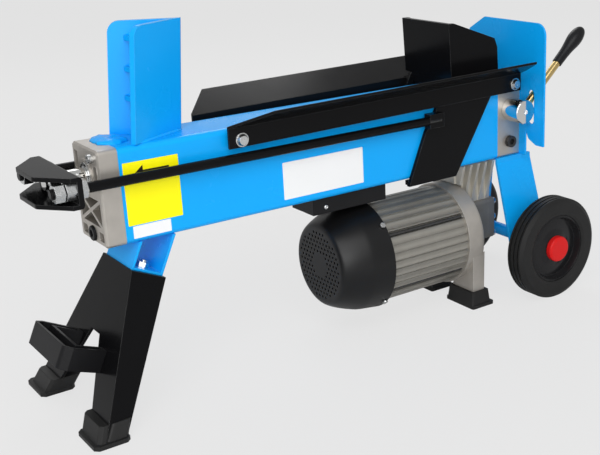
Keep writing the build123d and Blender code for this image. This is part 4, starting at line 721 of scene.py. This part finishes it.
class SPLITTER_OT_stage(Operator):
    """Pale floor, soft lights, backdrop and camera"""
    bl_idname = "splitter.stage"
    bl_label = "Stage"

    def execute(self, context):
        stage = context.scene.splitter_stage
        scene = context.scene
        scene.view_settings.view_transform = "Standard"
        floor_material = bpy.data.materials.new("Studio floor")
        floor_material.use_nodes = True
        nodes, links = floor_material.node_tree.nodes, floor_material.node_tree.links
        shader = nodes["Principled BSDF"]
        shader.inputs["Base Color"].default_value = (0.74, 0.74, 0.74, 1)
        shader.inputs["Roughness"].default_value = 0.9
        shader.inputs["Specular IOR Level"].default_value = 0.0
        glow = nodes.new("ShaderNodeEmission")
        glow.inputs["Color"].default_value = (stage.backdrop, stage.backdrop, stage.backdrop, 1)
        path = nodes.new("ShaderNodeLightPath")
        share = math_node(nodes, "MULTIPLY", 0.0, 0.85)
        blend = nodes.new("ShaderNodeMixShader")
        links.new(path.outputs["Is Camera Ray"], share.inputs[0])
        links.new(share.outputs[0], blend.inputs["Fac"])
        links.new(shader.outputs["BSDF"], blend.inputs[1])
        links.new(glow.outputs["Emission"], blend.inputs[2])
        links.new(blend.outputs["Shader"], nodes["Material Output"].inputs["Surface"])
        half = 20.0
        corners = [(-half, -half, 0), (half, -half, 0), (half, half, 0), (-half, half, 0)]
        mesh = bpy.data.meshes.new("studio_floor")
        mesh.from_pydata(corners, [], [(0, 1, 2, 3)])
        mesh.materials.append(floor_material)
        floor = bpy.data.objects.new("studio_floor", mesh)
        scene.collection.objects.link(floor)

        world = bpy.data.worlds.new("Studio surroundings")
        scene.world = world
        world.use_nodes = True
        nodes, links = world.node_tree.nodes, world.node_tree.links
        backdrop = nodes["Background"]
        path = nodes.new("ShaderNodeLightPath")
        level = nodes.new("ShaderNodeMapRange")
        level.inputs["To Min"].default_value = stage.ambient
        level.inputs["To Max"].default_value = stage.backdrop
        links.new(path.outputs["Is Camera Ray"], level.inputs["Value"])
        links.new(level.outputs["Result"], backdrop.inputs["Strength"])
        backdrop.inputs["Color"].default_value = (1, 1, 1, 1)

        lamps = (
            ("key_light", (-1.5, -2.2, 2.1), 3.0, stage.key),
            ("fill_light", (-1.6, -2.4, 0.6), 1.6, stage.fill),
            ("back_light", (0.9, 1.7, 1.9), 1.2, stage.back),
        )
        target = Vector((0, 0, 0.2))
        for name, spot, size, power in lamps:
            lamp = bpy.data.lights.new(name, "AREA")
            lamp.size = size
            lamp.energy = power
            holder = bpy.data.objects.new(name, lamp)
            holder.location = spot
            holder.rotation_euler = (target - Vector(spot)).to_track_quat("-Z", "Y").to_euler()
            scene.collection.objects.link(holder)

        camera = bpy.data.cameras.new("studio_camera")
        camera.lens = 63.15
        camera.sensor_width = 36.0
        camera.shift_x = -0.1712
        camera.shift_y = 0.0032
        camera.clip_end = 100.0
        holder = bpy.data.objects.new("studio_camera", camera)
        right = Vector((0.793876, -0.607606, -0.024003))
        up = Vector((0.210584, 0.237683, 0.948241))
        ahead = Vector((0.570452, 0.757840, -0.316643))
        turn = Matrix((right, up, -ahead)).transposed().to_4x4()
        holder.matrix_world = Matrix.Translation((-0.74175, -1.13886, 0.59382)) @ turn
        scene.collection.objects.link(holder)
        scene.camera = holder
        return {"FINISHED"}


class SPLITTER_PT_panel(Panel):
    """Lists the steps that dress the log splitter"""
    bl_label = "Log Splitter"
    bl_idname = "SPLITTER_PT_panel"
    bl_space_type = "VIEW_3D"
    bl_region_type = "UI"
    bl_category = "Log Splitter"

    def draw(self, context):
        for step in STEPS:
            self.layout.operator(step.bl_idname)
        for settings in (context.scene.splitter_paint, context.scene.splitter_welds,
                         context.scene.splitter_labels, context.scene.splitter_stage):
            box = self.layout.box()
            for name in settings.__annotations__:
                box.prop(settings, name)


STEPS = (
    SPLITTER_OT_stage, SPLITTER_OT_sheet_metal, SPLITTER_OT_castings, SPLITTER_OT_bright_parts,
    SPLITTER_OT_plastic_and_rubber, SPLITTER_OT_weld_beads, SPLITTER_OT_labels, SPLITTER_OT_small_screws,
)
SETTINGS = {
    "splitter_paint": SplitterPaint,
    "splitter_welds": SplitterWelds,
    "splitter_labels": SplitterLabels,
    "splitter_stage": SplitterStage,
}


def register():
    for group in SETTINGS.values():
        bpy.utils.register_class(group)
    for step in STEPS:
        bpy.utils.register_class(step)
    bpy.utils.register_class(SPLITTER_PT_panel)
    for name, group in SETTINGS.items():
        setattr(bpy.types.Scene, name, PointerProperty(type=group))


def unregister():
    for name in SETTINGS:
        delattr(bpy.types.Scene, name)
    bpy.utils.unregister_class(SPLITTER_PT_panel)
    for step in reversed(STEPS):
        bpy.utils.unregister_class(step)
    for group in SETTINGS.values():
        bpy.utils.unregister_class(group)


def main():
    register()
    for step in STEPS:
        section, name = step.bl_idname.split(".")
        getattr(getattr(bpy.ops, section), name)()


if __name__ == "__main__":
    main()
